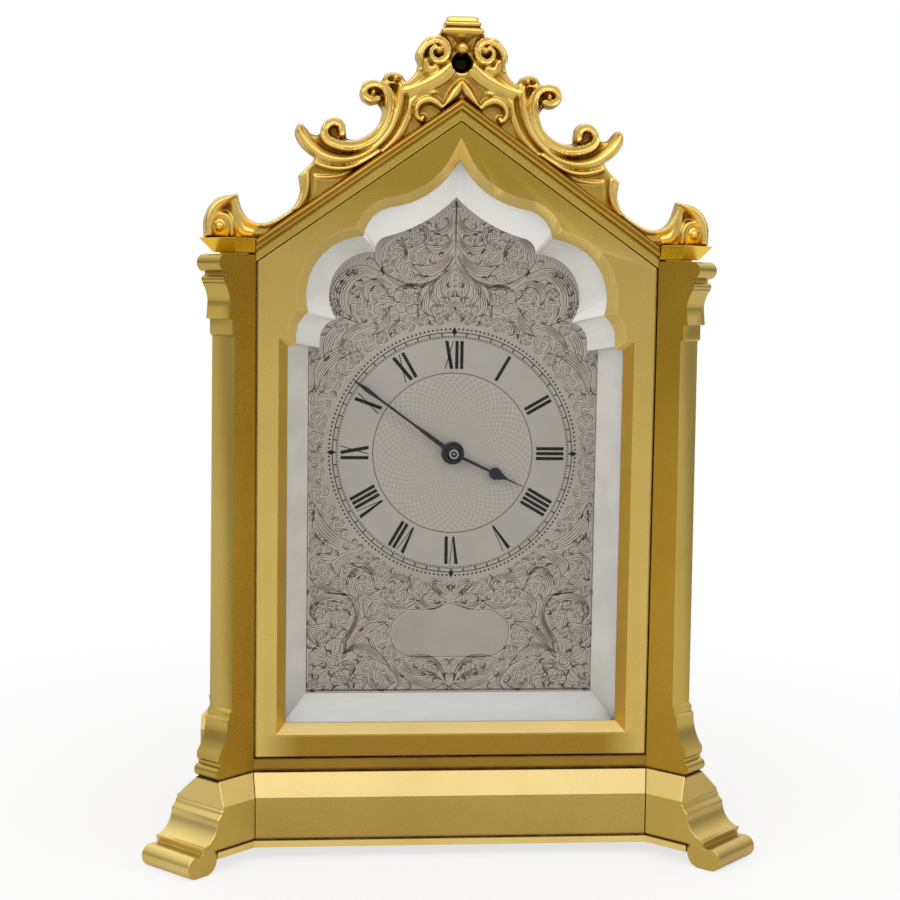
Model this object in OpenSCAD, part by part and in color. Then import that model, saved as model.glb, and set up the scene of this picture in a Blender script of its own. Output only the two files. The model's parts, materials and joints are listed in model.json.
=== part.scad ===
// Gilt brass mantel clock: gabled case, diagonal buttresses, cusped dial opening, scrolled cresting.
// Millimetres, +Z up, the dial faces -Y, origin on the table under the middle of the case.

/* [Case body] */
// Width of the front panel between the buttresses
panel_w = 120; // [112:1:130]
// Depth from the front face to the rear face
body_d = 84; // [80:1:96]
// Height of the straight walls, case floor to gable shoulder
wall_h = 148.2; // [144:0.1:156]
// Rise of the gable from shoulder to apex
gable_rise = 42.3; // [38:0.1:46]
// Thickness of the gabled front and rear frames
frame_t = 4; // [3.5:0.1:4.4]
// Thickness of the side walls
side_t = 3; // [2:0.1:4]
// Open joint left round each frame
frame_gap = 0.3; // [0.1:0.05:0.5]

/* [Base] */
// Height of the base plate's underside above the table
base_z = 3.8; // [3.2:0.1:4.2]
// Thickness of the base plate
base_t = 2.2; // [1.6:0.1:3]
// How far the base plate's edge sits behind the plinth face
base_inset = 0.5; // [0.3:0.1:1]
// Height of the plinth's upright face
plinth_face_h = 13; // [11:0.5:15]
// Height of the plinth's top chamfer
plinth_chamfer_h = 7; // [5:0.5:8]
// Projection of the plinth in front of the front panel
plinth_front = 3.7; // [3:0.1:5]
// Projection of the plinth beyond the side walls
plinth_side = 7.1; // [6:0.1:8]
// Overhang of a foot in front of its buttress
foot_over = 3.1; // [2.6:0.1:3.6]
// Wall thickness of the plinth panels
plinth_t = 3; // [2:0.1:3.6]
// Thickness of the case floor
deck_t = 4.3; // [3.5:0.1:5]

/* [Feet] */
// Reach of a foot's upper block from the plinth corner
foot_block_r = 12.9; // [12:0.1:14]
// Reach of a foot's step moulding
foot_step_r = 15; // [14.4:0.1:16]
// Reach of the hollow's lower end
foot_hollow_r = 21.2; // [20:0.1:22]
// Radius of the rolled toe
toe_r = 3.3; // [3:0.1:3.6]
// Reach of the rolled toe's centre
toe_c = 23.3; // [22.5:0.1:24.5]
// Reach at which the heel starts below the base plate
heel_r = 15.2; // [14.8:0.1:16]
// Reach at which the short rear foot's heel starts
rear_heel_r = 7; // [6.8:0.1:8]
// Reach of the rear feet beyond the front panel's edge, where their outer corners are cut flat
rear_foot_out = 20; // [19:0.5:24]

/* [Buttresses] */
// Width of a buttress
pillar_w = 9.6; // [8:0.1:11]
// Reach of the shaft at its foot
shaft_foot_r = 8.9; // [8.4:0.1:9.4]
// Reach of the shaft at its head
shaft_head_r = 8.3; // [7.8:0.1:8.8]
// Reach of the base moulding's upper edge
base_neck_r = 10.6; // [10:0.1:11.2]
// Reach of the base moulding's lower edge
base_flare_r = 14; // [13.4:0.1:14.4]
// Reach of the bell under the cap
bell_r = 10.2; // [9.8:0.1:10.8]
// Radius of the cap's roll
roll_r = 2.55; // [2.4:0.05:2.8]
// Reach of the roll's centre
roll_c = 11.8; // [11:0.1:12.4]
// Height of the cap above the gable shoulder
cap_rise = 2.4; // [1.6:0.1:2.8]
// Depth of the post behind the frame
post_d = 8; // [6:0.5:12]

/* [Eaves and roof] */
// Open joint between buttress cap and abacus
abacus_gap = 0.6; // [0.3:0.05:0.8]
// Height of the abacus and eaves moulding
abacus_h = 4.2; // [3.8:0.1:4.8]
// Reach of the abacus at its underside
abacus_r = 8; // [7.5:0.1:8.4]
// Outward splay of the abacus and eaves
eave_splay = 3; // [2:0.1:4]
// Thickness of the flat fascia along the gable
fascia_h = 2.2; // [1.8:0.1:2.6]
// Width of the groove between fascia and roll
quirk_h = 0.5; // [0.3:0.05:0.7]
// Thickness of the raking roll
rake_roll_h = 2.7; // [2.4:0.1:3]
// Forward projection of the raking roll
rake_proj = 1.6; // [1.2:0.1:2.4]
// Depth of the raking cornice behind the frame face
rake_d = 10; // [8:0.5:12]
// Thickness of the roof plates
roof_t = 2; // [1.5:0.1:2.4]

/* [Cresting] */
// Thickness of the cresting's pierced ground
crest_t = 5; // [4:0.1:6]
// Height of the relief in front of the ground
crest_relief = 2; // [1.5:0.1:2.2]
// Total height of the cresting above the gable apex
crest_h = 30.7; // [28:0.1:33]

/* [Dial opening] */
// Width of the opening in the front frame
opening_w = 101; // [97:0.5:103]
// Sill of the opening above the case floor
opening_sill = 9.9; // [9:0.1:12]
// Shelf of the opening below the gable shoulder
shelf_drop = 24.3; // [22:0.1:26]
// Apex of the opening above the gable shoulder
opening_apex = 31.6; // [30.5:0.1:32.5]
// Radius of the small lobe above the shelf
small_lobe_r = 8.55; // [8:0.05:9]
// Radius of the large side lobe
large_lobe_r = 17.7; // [17:0.1:18.4]
// Centre of the small lobe from the middle
small_lobe_x = 39.5; // [39:0.1:40]
// Centre of the large lobe from the middle
large_lobe_x = 27.5; // [27:0.1:28]
// Centre of the ogee's lower sweep from the middle
ogee_x = 18.3; // [17.8:0.1:18.8]
// Radius of the ogee's lower sweep
ogee_r = 10.1; // [9.6:0.1:10.6]
// Radius of the ogee's upper sweep
sweep_r = 26.4; // [25.5:0.1:28]
// Width of the chamfer round the opening
opening_bevel = 2.7; // [2:0.1:3]
// Depth of the chamfer round the opening
opening_bevel_d = 3.4; // [2.8:0.1:3.4]
// Width of the silvered slip seen in front of the dial
slip_w = 6.1; // [5:0.1:6.5]
// Depth of the slip
slip_d = 6.4; // [5.4:0.1:7]
// Thickness of the glass
glass_t = 1.8; // [1.4:0.1:2]
// Thickness of the dial plate
dial_t = 1.6; // [1.2:0.1:2]
// Clearance between stacked dial pieces
stack_gap = 0.1; // [0.05:0.05:0.2]

/* [Hands] */
// Height of the dial centre above the case floor
dial_c = 91.5; // [89:0.5:94]
// Length of the minute hand
minute_len = 38.2; // [36:0.1:39]
// Length of the hour hand
hour_len = 24; // [22:0.1:26]
// Thickness of the hands
hand_t = 0.7; // [0.5:0.05:0.9]
// Angle of the minute hand, clockwise from the top
minute_deg = 306; // [0:1:359]
// Angle of the hour hand, clockwise from the top
hour_deg = 115; // [0:1:359]

/* [Movement] */
// Thickness of the movement plates
plate_t = 2.5; // [2:0.1:3]
// Width of the movement plates
plate_w = 64; // [62:1:72]
// Distance between the movement plates
plate_gap = 22; // [22:0.1:26]
// Space for the motion work between dial and front plate
motion_gap = 4.8; // [4.8:0.1:6]
// Reach of the plates above the dial centre
plate_up = 36; // [36:0.1:40]
// Reach of the plates below the dial centre
plate_down = 46; // [46:0.5:52]
// Radius of the train arbors
arbor_r = 1.2; // [1:0.05:1.4]
// Radius of the train pivots
pivot_r = 0.7; // [0.5:0.05:0.9]
// Running clearance of pivots and bores
run_gap = 0.05; // [0.03:0.01:0.08]
// Radius of the barrel arbor
barrel_arbor_r = 2.5; // [2:0.1:3]
// Thickness of the train wheels
wheel_t = 1.2; // [1:0.1:1.4]

/* [Rear door] */
// Width of the rear frame beside the door
door_side = 18; // [16:0.5:22]
// Height of the door
door_h = 124; // [116:1:128]
// Height of the door's lower edge above the case floor
door_sill = 12; // [10:1:16]
// Thickness of the door
door_t = 3; // [2.5:0.1:3.4]
// Clearance round the door
door_gap = 0.3; // [0.2:0.05:0.5]
// Radius of the hinge knuckles
knuckle_r = 1.6; // [1.4:0.1:2]
// Radius of the hinge pin
hinge_pin_r = 0.8; // [0.6:0.05:0.9]
// Length of a hinge
hinge_h = 18; // [15:0.5:24]
// Width of a hinge leaf
hinge_leaf_w = 7; // [5:0.5:8]
// Thickness of a hinge leaf
hinge_leaf_t = 0.8; // [0.6:0.05:1]
// Radius of the door knob
knob_r = 4; // [3:0.1:5]

/* [Hidden] */
$fn = 48;

gilt = [0.80, 0.64, 0.28];
gilt_dark = [0.62, 0.46, 0.16];
brass = [0.76, 0.62, 0.32];
silver = [0.80, 0.80, 0.78];
steel = [0.55, 0.57, 0.60];
blued = [0.08, 0.09, 0.16];
clear = [0.85, 0.92, 0.95, 0.3];

// Levels of the case
plinth_z = base_z + base_t;
chamfer_z = plinth_z + plinth_face_h;
plinth_top = chamfer_z + plinth_chamfer_h;
deck_z = plinth_top + deck_t;
shoulder_z = deck_z + wall_h;
cap_z = shoulder_z + cap_rise;
abacus_z = cap_z + abacus_gap;
eave_z = abacus_z + abacus_h;
rake = atan2(gable_rise, panel_w / 2);
half_w = panel_w / 2;
diag = sqrt(0.5);
side_x = half_w + pillar_w * diag;
door_w = panel_w - 2 * door_side;

// Depths behind the front face
glass_d = frame_t + stack_gap;
slip_face = glass_d + glass_t + stack_gap;
dial_face = slip_face + slip_d + stack_gap;
dial_back = dial_face + dial_t;
front_plate_d = dial_back + motion_gap;
train_d = front_plate_d + plate_t;
back_plate_d = train_d + plate_gap;
back_d = back_plate_d + plate_t;
dial_z = deck_z + dial_c;

function fy(depth) = -body_d / 2 + depth;
function mirrored(points) = [for (i = [len(points) - 1:-1:0]) [-points[i][0], points[i][1]]];
function arc(c, r, from, to, steps) =
    [for (i = [0:steps]) let (a = from + (to - from) * i / steps) c + r * [cos(a), sin(a)]];
function bearing(c, p) = atan2(p[1] - c[1], p[0] - c[0]);
// Crossing of two circles, on the left (+1) or right (-1) of the line from c1 to c2
function crossing(c1, r1, c2, r2, hand) =
    let (v = c2 - c1, d = norm(v), u = v / d, a = (d * d + r1 * r1 - r2 * r2) / (2 * d))
    c1 + a * u + hand * sqrt(r1 * r1 - a * a) * [-u[1], u[0]];

// Local frame of a corner: x runs out along the buttress, y runs across it
module to_corner(sx, sy) {
    mirror([sx < 0 ? 1 : 0, 0, 0])
        mirror([0, sy > 0 ? 1 : 0, 0])
            translate([half_w, -body_d / 2, 0])
                rotate([0, 0, -45]) children();
}

// Outline in reach and height, extruded across the buttress
module across(from, to) {
    translate([0, to, 0]) rotate([90, 0, 0]) linear_extrude(to - from) children();
}

// Outline in x and z, extruded between two depths behind the front face
module upright(from, to) {
    translate([0, fy(to), 0]) rotate([90, 0, 0]) linear_extrude(to - from) children();
}

// Round bar along the depth, about the dial centre
module bar(at, from, to, r) {
    translate([at[0], fy(to), dial_z + at[1]]) rotate([90, 0, 0]) cylinder(h = to - from, r = r);
}

// Flat outline about a centre near the dial centre, between two depths
module disc(at, from, to) {
    translate([at[0], fy(to), dial_z + at[1]]) rotate([90, 0, 0]) linear_extrude(to - from) children();
}

// Closed solid through rings of equal length, each anticlockwise seen from the last ring
module loft(rings) {
    n = len(rings[0]);
    last = (len(rings) - 1) * n;
    sides = [for (k = [0:len(rings) - 2], i = [0:n - 1])
        let (j = (i + 1) % n, a = k * n, b = a + n)
        each [[a + i, b + i, b + j], [a + i, b + j, a + j]]];
    polyhedron([for (ring = rings) each ring],
        concat([[for (i = [0:n - 1]) i]], sides, [[for (i = [n - 1:-1:0]) last + i]]));
}

// Ring of plan or elevation points set at a height or a depth
function level(points, z) = [for (p = points) [p[0], p[1], z]];
function sheet(points, depth) = [for (p = points) [p[0], fy(depth), p[1]]];
function polar(a, r) = r * [cos(a), sin(a)];
function rect(x0, x1, y0, y1) = [[x0, y0], [x1, y0], [x1, y1], [x0, y1]];

// Plinth corners: reach of the corner line, and the foot's outer side
corner_r = plinth_front / diag - foot_over;
foot_side = pillar_w + (plinth_side - plinth_front) / diag + foot_over;
corner_x = half_w + (corner_r - foot_over) * diag;
corner_y = fy((foot_side - corner_r) * diag);
side_y = fy(pillar_w * diag);

// Plan of the base plate, drawn in from the plinth faces
base_arm_gap = 0.2;
function corner_plan(heel) =
    let (t0 = base_inset - foot_over,
         t1 = foot_side - base_inset,
         tip = corner_r + heel - base_arm_gap - base_inset,
         r0 = t0 + (plinth_front - base_inset) / diag,
         r1 = pillar_w + (plinth_side - base_inset) / diag - t1)
    [for (p = [[r0, t0], [tip, t0], [tip, t1], [r1, t1]])
        [half_w + (p[0] + p[1]) * diag, fy((p[1] - p[0]) * diag)]];
// Outline through a front and a rear corner and their mirror images, anticlockwise from the front right
function four_corners(front, rear) =
    let (right = concat(front, [for (i = [len(rear) - 1:-1:0]) [rear[i][0], -rear[i][1]]]))
    concat(right, mirrored(right));

// Place of a foot's screw, part way along the base plate's arm
screw_along = 0.45;
function foot_screw(sy) = [corner_r + screw_along * (sy < 0 ? heel_r : rear_heel_r), (foot_side - foot_over) / 2];
screw_r = 1.5;
screw_gap = 0.1;
screw_depth = 9;
screw_head_r = 3;
screw_head_h = 1.3;

module base_plate() {
    color(gilt_dark)
        difference() {
            translate([0, 0, base_z]) linear_extrude(base_t)
                polygon(four_corners(corner_plan(heel_r), corner_plan(rear_heel_r)));
            for (sx = [-1, 1], sy = [-1, 1]) to_corner(sx, sy)
                translate(foot_screw(sy)) cylinder(h = plinth_z + 1, r = screw_r + screw_gap);
        }
}

module case_screws() {
    color(steel)
        for (sx = [-1, 1], sy = [-1, 1]) to_corner(sx, sy)
            translate(foot_screw(sy)) translate([0, 0, base_z - screw_head_h]) difference() {
                union() {
                    cylinder(h = screw_head_h, r = screw_head_r);
                    cylinder(h = screw_head_h + base_t + screw_depth, r = screw_r);
                }
                translate([-screw_head_r, -0.4, -0.1]) cube([2 * screw_head_r, 0.8, 0.8]);
            }
}

// Straight plinth panel along x: upright face below, chamfer running back to the wall above
module plinth_panel(low_half, high_half, proj) {
    color(gilt)
        loft([
            level(rect(-low_half, low_half, -proj, plinth_t - proj), plinth_z),
            level(rect(-low_half, low_half, -proj, plinth_t - proj), chamfer_z),
            level(rect(-high_half, high_half, 0, plinth_t), plinth_top)
        ]);
}
module plinth_front_panel() { translate([0, fy(0), 0]) plinth_panel(corner_x, half_w, plinth_front); }
module plinth_rear_panel() { mirror([0, 1, 0]) plinth_front_panel(); }
module plinth_right_panel() {
    translate([side_x, 0, 0]) rotate([0, 0, 90]) plinth_panel(-corner_y, -side_y, plinth_side);
}
module plinth_left_panel() { mirror([1, 0, 0]) plinth_right_panel(); }

// Foot: moulded slab with a hollow and a rolled toe in front, a plain short slab behind,
// and a weathered block under the buttress
foot_step_z = 15.6;
foot_ridge_z = 17.6;
ridge_w = 0.6;
hollow_z = 8.6;
channel_w = 0.6;
heel_h = 4.4;
heel_run = 4.2;
block_face_r = corner_r + foot_block_r;
foot_head = [
    [block_face_r + ridge_w, foot_ridge_z - ridge_w], [block_face_r + ridge_w, foot_ridge_z],
    [block_face_r, foot_ridge_z + ridge_w], [block_face_r, chamfer_z], [corner_r, chamfer_z]];
front_foot_profile = concat(
    [[corner_r, plinth_z], [corner_r + heel_r, plinth_z]],
    [for (p = arc([1, 1], 1, 180, 270, 6)) [corner_r + heel_r + heel_run * p[0], heel_h * p[1]]],
    arc([corner_r + toe_c, toe_r], toe_r, -90, 112, 14),
    [[corner_r + foot_hollow_r - channel_w, 2 * toe_r]],
    [for (p = arc([1, 1], 1, 270, 180, 8))
        [corner_r + foot_step_r + (foot_hollow_r - foot_step_r) * p[0],
         hollow_z + (foot_step_z - hollow_z) * p[1]]],
    foot_head);
rear_foot_profile = concat(
    [[corner_r, plinth_z], [corner_r + rear_heel_r, plinth_z], [corner_r + rear_heel_r, 0],
     [block_face_r + ridge_w, 0]],
    foot_head);

module foot(sx, sy) {
    color(gilt) difference() {
        to_corner(sx, sy) union() {
            across(-foot_over, foot_side) polygon(sy < 0 ? front_foot_profile : rear_foot_profile);
            loft([level(rect(corner_r, block_face_r, -foot_over, foot_side), chamfer_z),
                  level(rect(0, base_flare_r, 0, pillar_w), plinth_top)]);
        }
        to_corner(sx, sy) translate(foot_screw(sy)) translate([0, 0, plinth_z - 1])
            cylinder(h = screw_depth + 2, r = screw_r + screw_gap);
        if (sy > 0) mirror([sx < 0 ? 1 : 0, 0, 0]) translate([half_w + rear_foot_out, 0, -1])
            cube([panel_w, body_d, plinth_top + 2]);
    }
}

// Case floor: an octagon between the buttresses
module deck_plate() {
    color(gilt_dark)
        translate([0, 0, plinth_top]) linear_extrude(deck_t)
            let (corner = [[half_w, fy(0)], [side_x, side_y]]) polygon(four_corners(corner, corner));
}

// Buttress profile: moulded base, tapering shaft, bell, bead and rolled cap, from plinth to eaves
base_bead_z = plinth_top + 2.2;
base_fillet_z = plinth_top + 5;
base_cove_z = plinth_top + 7.6;
base_neck_z = plinth_top + 17;
shaft_foot_z = plinth_top + 20.6;
shaft_head_z = cap_z - 23.9;
bell_foot_z = cap_z - 18.7;
cove_z = cap_z - 14;
bead_z = cap_z - 7.3;
bead_r = 1.1;
cove_h = bead_z - bead_r - cove_z;
cove_run = roll_c + 0.4 - bell_r;
cove_radius = (cove_h * cove_h + cove_run * cove_run) / (2 * cove_run);
flare_h = base_neck_z - base_cove_z;
flare_run = base_flare_r - base_neck_r;
flare_radius = (flare_h * flare_h + flare_run * flare_run) / (2 * flare_run);
pillar_profile = concat(
    [[0, plinth_top], [base_flare_r - 0.6, plinth_top]],
    arc([base_flare_r - 0.8, base_bead_z], 1.9, -80, 80, 8),
    [[base_flare_r - 0.6, base_fillet_z - 0.6], [base_flare_r - 0.6, base_fillet_z],
     [base_flare_r, base_fillet_z + 0.8]],
    arc([base_neck_r + flare_radius, base_neck_z], flare_radius, 180 + asin(flare_h / flare_radius), 180, 10),
    [[base_neck_r, base_neck_z + 0.6], [shaft_foot_r + 0.9, base_neck_z + 1.2],
     [shaft_foot_r + 0.9, shaft_foot_z - 1], [shaft_foot_r, shaft_foot_z],
     [shaft_head_r, shaft_head_z], [shaft_head_r + 0.9, shaft_head_z + 0.8],
     [shaft_head_r + 0.9, bell_foot_z - 0.2], [bell_r + 0.5, bell_foot_z]],
    arc([bell_r + cove_radius, cove_z], cove_radius, 180, 180 - asin(cove_h / cove_radius), 8),
    arc([roll_c - 0.3, bead_z], bead_r, -60, 90, 6),
    [[roll_c - 0.6, cap_z - 2 * roll_r - 0.2]],
    arc([roll_c, cap_z - roll_r], roll_r, -90, 90, 12),
    [[0, cap_z]]);
glass_lip = 2.3;
post_gap = 0.3;
post_x = opening_w / 2 + glass_lip + post_gap;
// Tongue of the post let into the back of the buttress
post_tongue = 1;
function corner_point(r, t) = [half_w + (r + t) * diag, fy((t - r) * diag)];

module pillar(sx, sy) {
    color(gilt) {
        to_corner(sx, sy) across(0, pillar_w) polygon(pillar_profile);
        mirror([sx < 0 ? 1 : 0, 0, 0]) mirror([0, sy > 0 ? 1 : 0, 0])
            translate([0, 0, deck_z]) linear_extrude(wall_h)
                polygon([corner_point(0, 0), corner_point(post_tongue, post_tongue),
                    corner_point(post_tongue, pillar_w - post_tongue), corner_point(0, pillar_w),
                    [side_x - side_t, side_y], [side_x - side_t, fy(frame_t + post_d)],
                    [post_x, fy(frame_t + post_d)], [post_x, fy(frame_t)], [half_w, fy(frame_t)]]);
    }
}

module side_panel_right() {
    color(gilt)
        translate([side_x - side_t, side_y + frame_gap, deck_z])
            cube([side_t, -2 * (side_y + frame_gap), wall_h]);
}
module side_panel_left() { mirror([1, 0, 0]) side_panel_right(); }

// Cusped opening: half outline from the sill up to the apex, moved outwards by e
// s = [half width, sill, shelf, small lobe centre, radius, large lobe centre, radius,
//      ogee centre, radius, sweep, apex]
function opening_half(s, e) =
    let (shelf = s[2] + e, r1 = s[4] + e, r2 = s[6] + e, r3 = s[8] + e, r4 = s[9] - e,
         tip = [0, s[10]],
         sweep_c = crossing(s[7], s[8] + s[9], tip, s[9], -1),
         low = crossing(s[3], r1, s[5], r2, -1),
         high = crossing(s[5], r2, s[7], r3, -1),
         meet = bearing(s[7], sweep_c),
         lean = atan2(sweep_c[1] - tip[1], sweep_c[0]),
         end = 180 + lean,
         peak = s[10] + e / sin(lean))
    concat([[s[0] + e, s[1] - e], [s[0] + e, shelf], [s[3][0] + r1, shelf]],
        arc(s[3], r1, 0, bearing(s[3], low), 6),
        arc(s[5], r2, bearing(s[5], low), bearing(s[5], high), 12),
        arc(s[7], r3, bearing(s[7], high), meet, 8),
        [for (i = [0:9]) sweep_c + polar(meet + 180 + (end - meet - 180) * i / 10, r4)],
        [[0, peak]]);
function opening(s, e) =
    let (h = opening_half(s, e))
    concat(h, [for (i = [len(h) - 2:-1:0]) [-h[i][0], h[i][1]]]);

opening_shape = [opening_w / 2, deck_z + opening_sill, shoulder_z - shelf_drop,
    [small_lobe_x, shoulder_z - 21], small_lobe_r, [large_lobe_x, shoulder_z - 9.1], large_lobe_r,
    [ogee_x, shoulder_z + 7.3], ogee_r, sweep_r, shoulder_z + opening_apex];
slip_sight = [opening_w / 2 - slip_w, deck_z + opening_sill + slip_w + 0.9, shoulder_z - shelf_drop - 0.6,
    [small_lobe_x - 5, shoulder_z - 22.5], small_lobe_r - 2.1,
    [large_lobe_x - 2.3, shoulder_z - 8.9], large_lobe_r - 4.6,
    [ogee_x + 1.7, shoulder_z + 4.5], ogee_r - 5.6, sweep_r + 18.6, shoulder_z + opening_apex - 10.6];

apex_z = shoulder_z + gable_rise;
module gable_outline() {
    low = deck_z + frame_gap;
    edge = half_w - frame_gap;
    polygon([[-edge, low], [edge, low], [edge, shoulder_z + gable_rise * frame_gap / half_w],
        [0, apex_z], [-edge, shoulder_z + gable_rise * frame_gap / half_w]]);
}

module front_frame() {
    color(gilt) difference() {
        upright(0, frame_t) gable_outline();
        loft([sheet(opening(opening_shape, 0), frame_t + 1),
              sheet(opening(opening_shape, 0), opening_bevel_d),
              sheet(opening(opening_shape, opening_bevel + 0.2), -0.2 * opening_bevel_d / opening_bevel)]);
    }
}

slip_land = 1.2;
module dial_slip() {
    color(silver) difference() {
        upright(slip_face, slip_face + slip_d) polygon(opening(opening_shape, glass_lip));
        loft([sheet(opening(slip_sight, 0), slip_face + slip_d + 0.01),
              sheet(opening(opening_shape, glass_lip - slip_land), slip_face - 0.01)]);
    }
}

module front_glass() {
    color(clear) upright(glass_d, glass_d + glass_t) polygon(opening(opening_shape, glass_lip));
}

pipe_r = 2.3;
dial_foot_x = plate_w / 2 - 3.5;
dial_foot_r = 1.5;
module dial_plate() {
    color(silver) {
        difference() {
            upright(dial_face, dial_back) polygon(opening(opening_shape, glass_lip));
            bar([0, 0], dial_face - 1, dial_back + 1, pipe_r + 0.5);
        }
        for (sx = [-1, 1], z = [20, -36]) bar([sx * dial_foot_x, z], dial_back, front_plate_d, dial_foot_r);
    }
}

// Raking cornice: flat fascia, groove and roll, mitred at the apex
rake_u0 = frame_gap;
rake_u1 = rake_u0 + fascia_h;
rake_u2 = rake_u1 + quirk_h;
rake_u3 = rake_u2 + rake_roll_h;
quirk_d = 1;
module along_rake(from, to) {
    for (sx = [0, 1]) mirror([sx, 0, 0]) rake_half(from, to) children();
}
module rake_half(from, to) {
    intersection() {
        translate([0, fy(0), apex_z]) rotate([0, rake, 0]) translate([-panel_w / 4, 0, 0])
            rotate([90, 0, 90]) linear_extrude(panel_w) children();
        translate([0, fy(from), shoulder_z - 20]) cube([half_w, to - from, gable_rise + 60]);
    }
}

module raking_cornice() {
    roll = rake_roll_h / 2;
    color(gilt) along_rake(-10, rake_d + 1)
        polygon(concat([[rake_d, rake_u0], [rake_d, rake_u3]],
            arc([roll - rake_proj, rake_u2 + roll], roll, 90, 270, 12),
            [[quirk_d, rake_u2], [quirk_d, rake_u1], [0, rake_u1], [0, rake_u0]]));
}
module raking_cornice_front() { raking_cornice(); }
module raking_cornice_rear() { mirror([0, 1, 0]) raking_cornice(); }

roof_gap = 0.2;
module roof_right() {
    color(gilt_dark) rake_half(rake_d + roof_gap, body_d - rake_d - roof_gap)
        polygon(rect(0, body_d, rake_u2, rake_u2 + roof_t));
}
module roof_left() { mirror([1, 0, 0]) roof_right(); }

// Splayed abacus over a buttress, on a smaller neck that leaves an open joint
abacus_neck = 1.5;
eave_gap = 0.1;
module abacus(sx, sy) {
    color(gilt) {
        intersection() {
            to_corner(sx, sy) loft([
                level(rect(0, abacus_r, 0, pillar_w), abacus_z),
                level(rect(0, abacus_r + eave_splay, -eave_splay, pillar_w + eave_splay), eave_z)]);
            mirror([sx < 0 ? 1 : 0, 0, 0]) translate([half_w + eave_gap, -body_d, abacus_z - 1])
                cube([half_w, 2 * body_d, abacus_h + 2]);
        }
        to_corner(sx, sy) translate([abacus_neck, abacus_neck, cap_z])
            cube([abacus_r - 2 * abacus_neck, pillar_w - 2 * abacus_neck, abacus_gap + 0.2]);
    }
}

// Eaves moulding along a side, with the abacus splay, cut back to the buttress lines
module eave_right() {
    color(gilt) difference() {
        translate([0, body_d / 2, 0]) rotate([90, 0, 0]) linear_extrude(body_d)
            polygon([[half_w + eave_gap, shoulder_z], [side_x, shoulder_z], [side_x, abacus_z],
                [side_x + eave_splay, eave_z], [half_w + eave_gap, eave_z]]);
        for (sy = [-1, 1]) to_corner(1, sy)
            translate([-eave_gap, -panel_w / 2, shoulder_z - 1]) cube([panel_w, panel_w, abacus_h + 20]);
    }
}
module eave_left() { mirror([1, 0, 0]) eave_right(); }

// Cresting: a pierced ground of scrolls on the raking cornice, with raised volutes and a capped finial
rest_gap = 0.05;
function rake_z(x) = apex_z + rake_u3 / cos(rake) - x * tan(rake) + rest_gap;
// Scale of the cresting, whose places and radii are drawn for a half width of 60
crest_k = half_w / 60;
// Place on the cresting: x along the gable, h above the raking cornice
function crest(x, h) = let (cx = x * crest_k) [cx, rake_z(cx) + h * crest_k];
corner_gap = 0.4;
crest_d = 1;
crest_top = apex_z + crest_h;
scroll_c = crest(30, 15.4);
scroll_r = 7.5 * crest_k;
corner_scroll = crest(68.6, 13.4);
corner_scroll_r = 6.9 * crest_k;
low_volute = crest(37.2, 15.8);
low_volute_r = 3.6 * crest_k;
high_volute = crest(26.3, 20.1);
high_volute_r = 3.5 * crest_k;
curl = crest(19.8, 18.8);
curl_r = 2.4 * crest_k;
top_volute = [8.3 * crest_k, crest_top - 10.2];
top_volute_r = 5 * crest_k;
inner_scroll = crest(11.6, 3.4);
inner_scroll_r = 3.6 * crest_k;
corner_base = eave_z + corner_gap;

// Right half of the ground, from the middle of the gable out along the cornice and back over the scrolls
crest_half = concat(
    [[0, rake_z(0)], [half_w - 1, max(rake_z(half_w - 1), corner_base)], [half_w + 1, corner_base],
     [corner_scroll[0] + corner_scroll_r * 0.7, corner_base]],
    arc(corner_scroll, corner_scroll_r, -40, 120, 10),
    arc(crest(55.8, 10.7), 8.7 * crest_k, -8, -200, 12),
    [crest(42.6, 10.9), crest(48.4, 22.4), crest(46.6, 24.8), crest(42.2, 18.8)],
    arc(low_volute, low_volute_r, 30, 170, 6),
    arc(scroll_c, scroll_r, -65, -200, 12),
    arc(high_volute, high_volute_r, -60, 110, 8),
    arc(curl, curl_r, 20, 160, 6),
    [[top_volute[0] + top_volute_r * 0.8, top_volute[1] - top_volute_r]],
    arc(top_volute, top_volute_r, -10, 100, 6));

cap_half_w = 6.2;
cap_h = 4.6;
// Raised volute on the ground: a boss inside the scroll's outline, with a smaller eye
sink = 0.5;
module volute(at, r) {
    translate([at[0], fy(crest_d + sink), at[1]]) rotate([90, 0, 0]) {
        cylinder(h = crest_relief * 0.7 + sink, r = r * 0.86);
        cylinder(h = crest_relief + sink, r = r * 0.42);
    }
}
module scroll_band(at, r, w, from, to) {
    upright(crest_d - crest_relief * 0.6, crest_d + sink)
        polygon(concat(arc(at, r, from, to, 12), arc(at, r + w, to, from, 12)));
}

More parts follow.
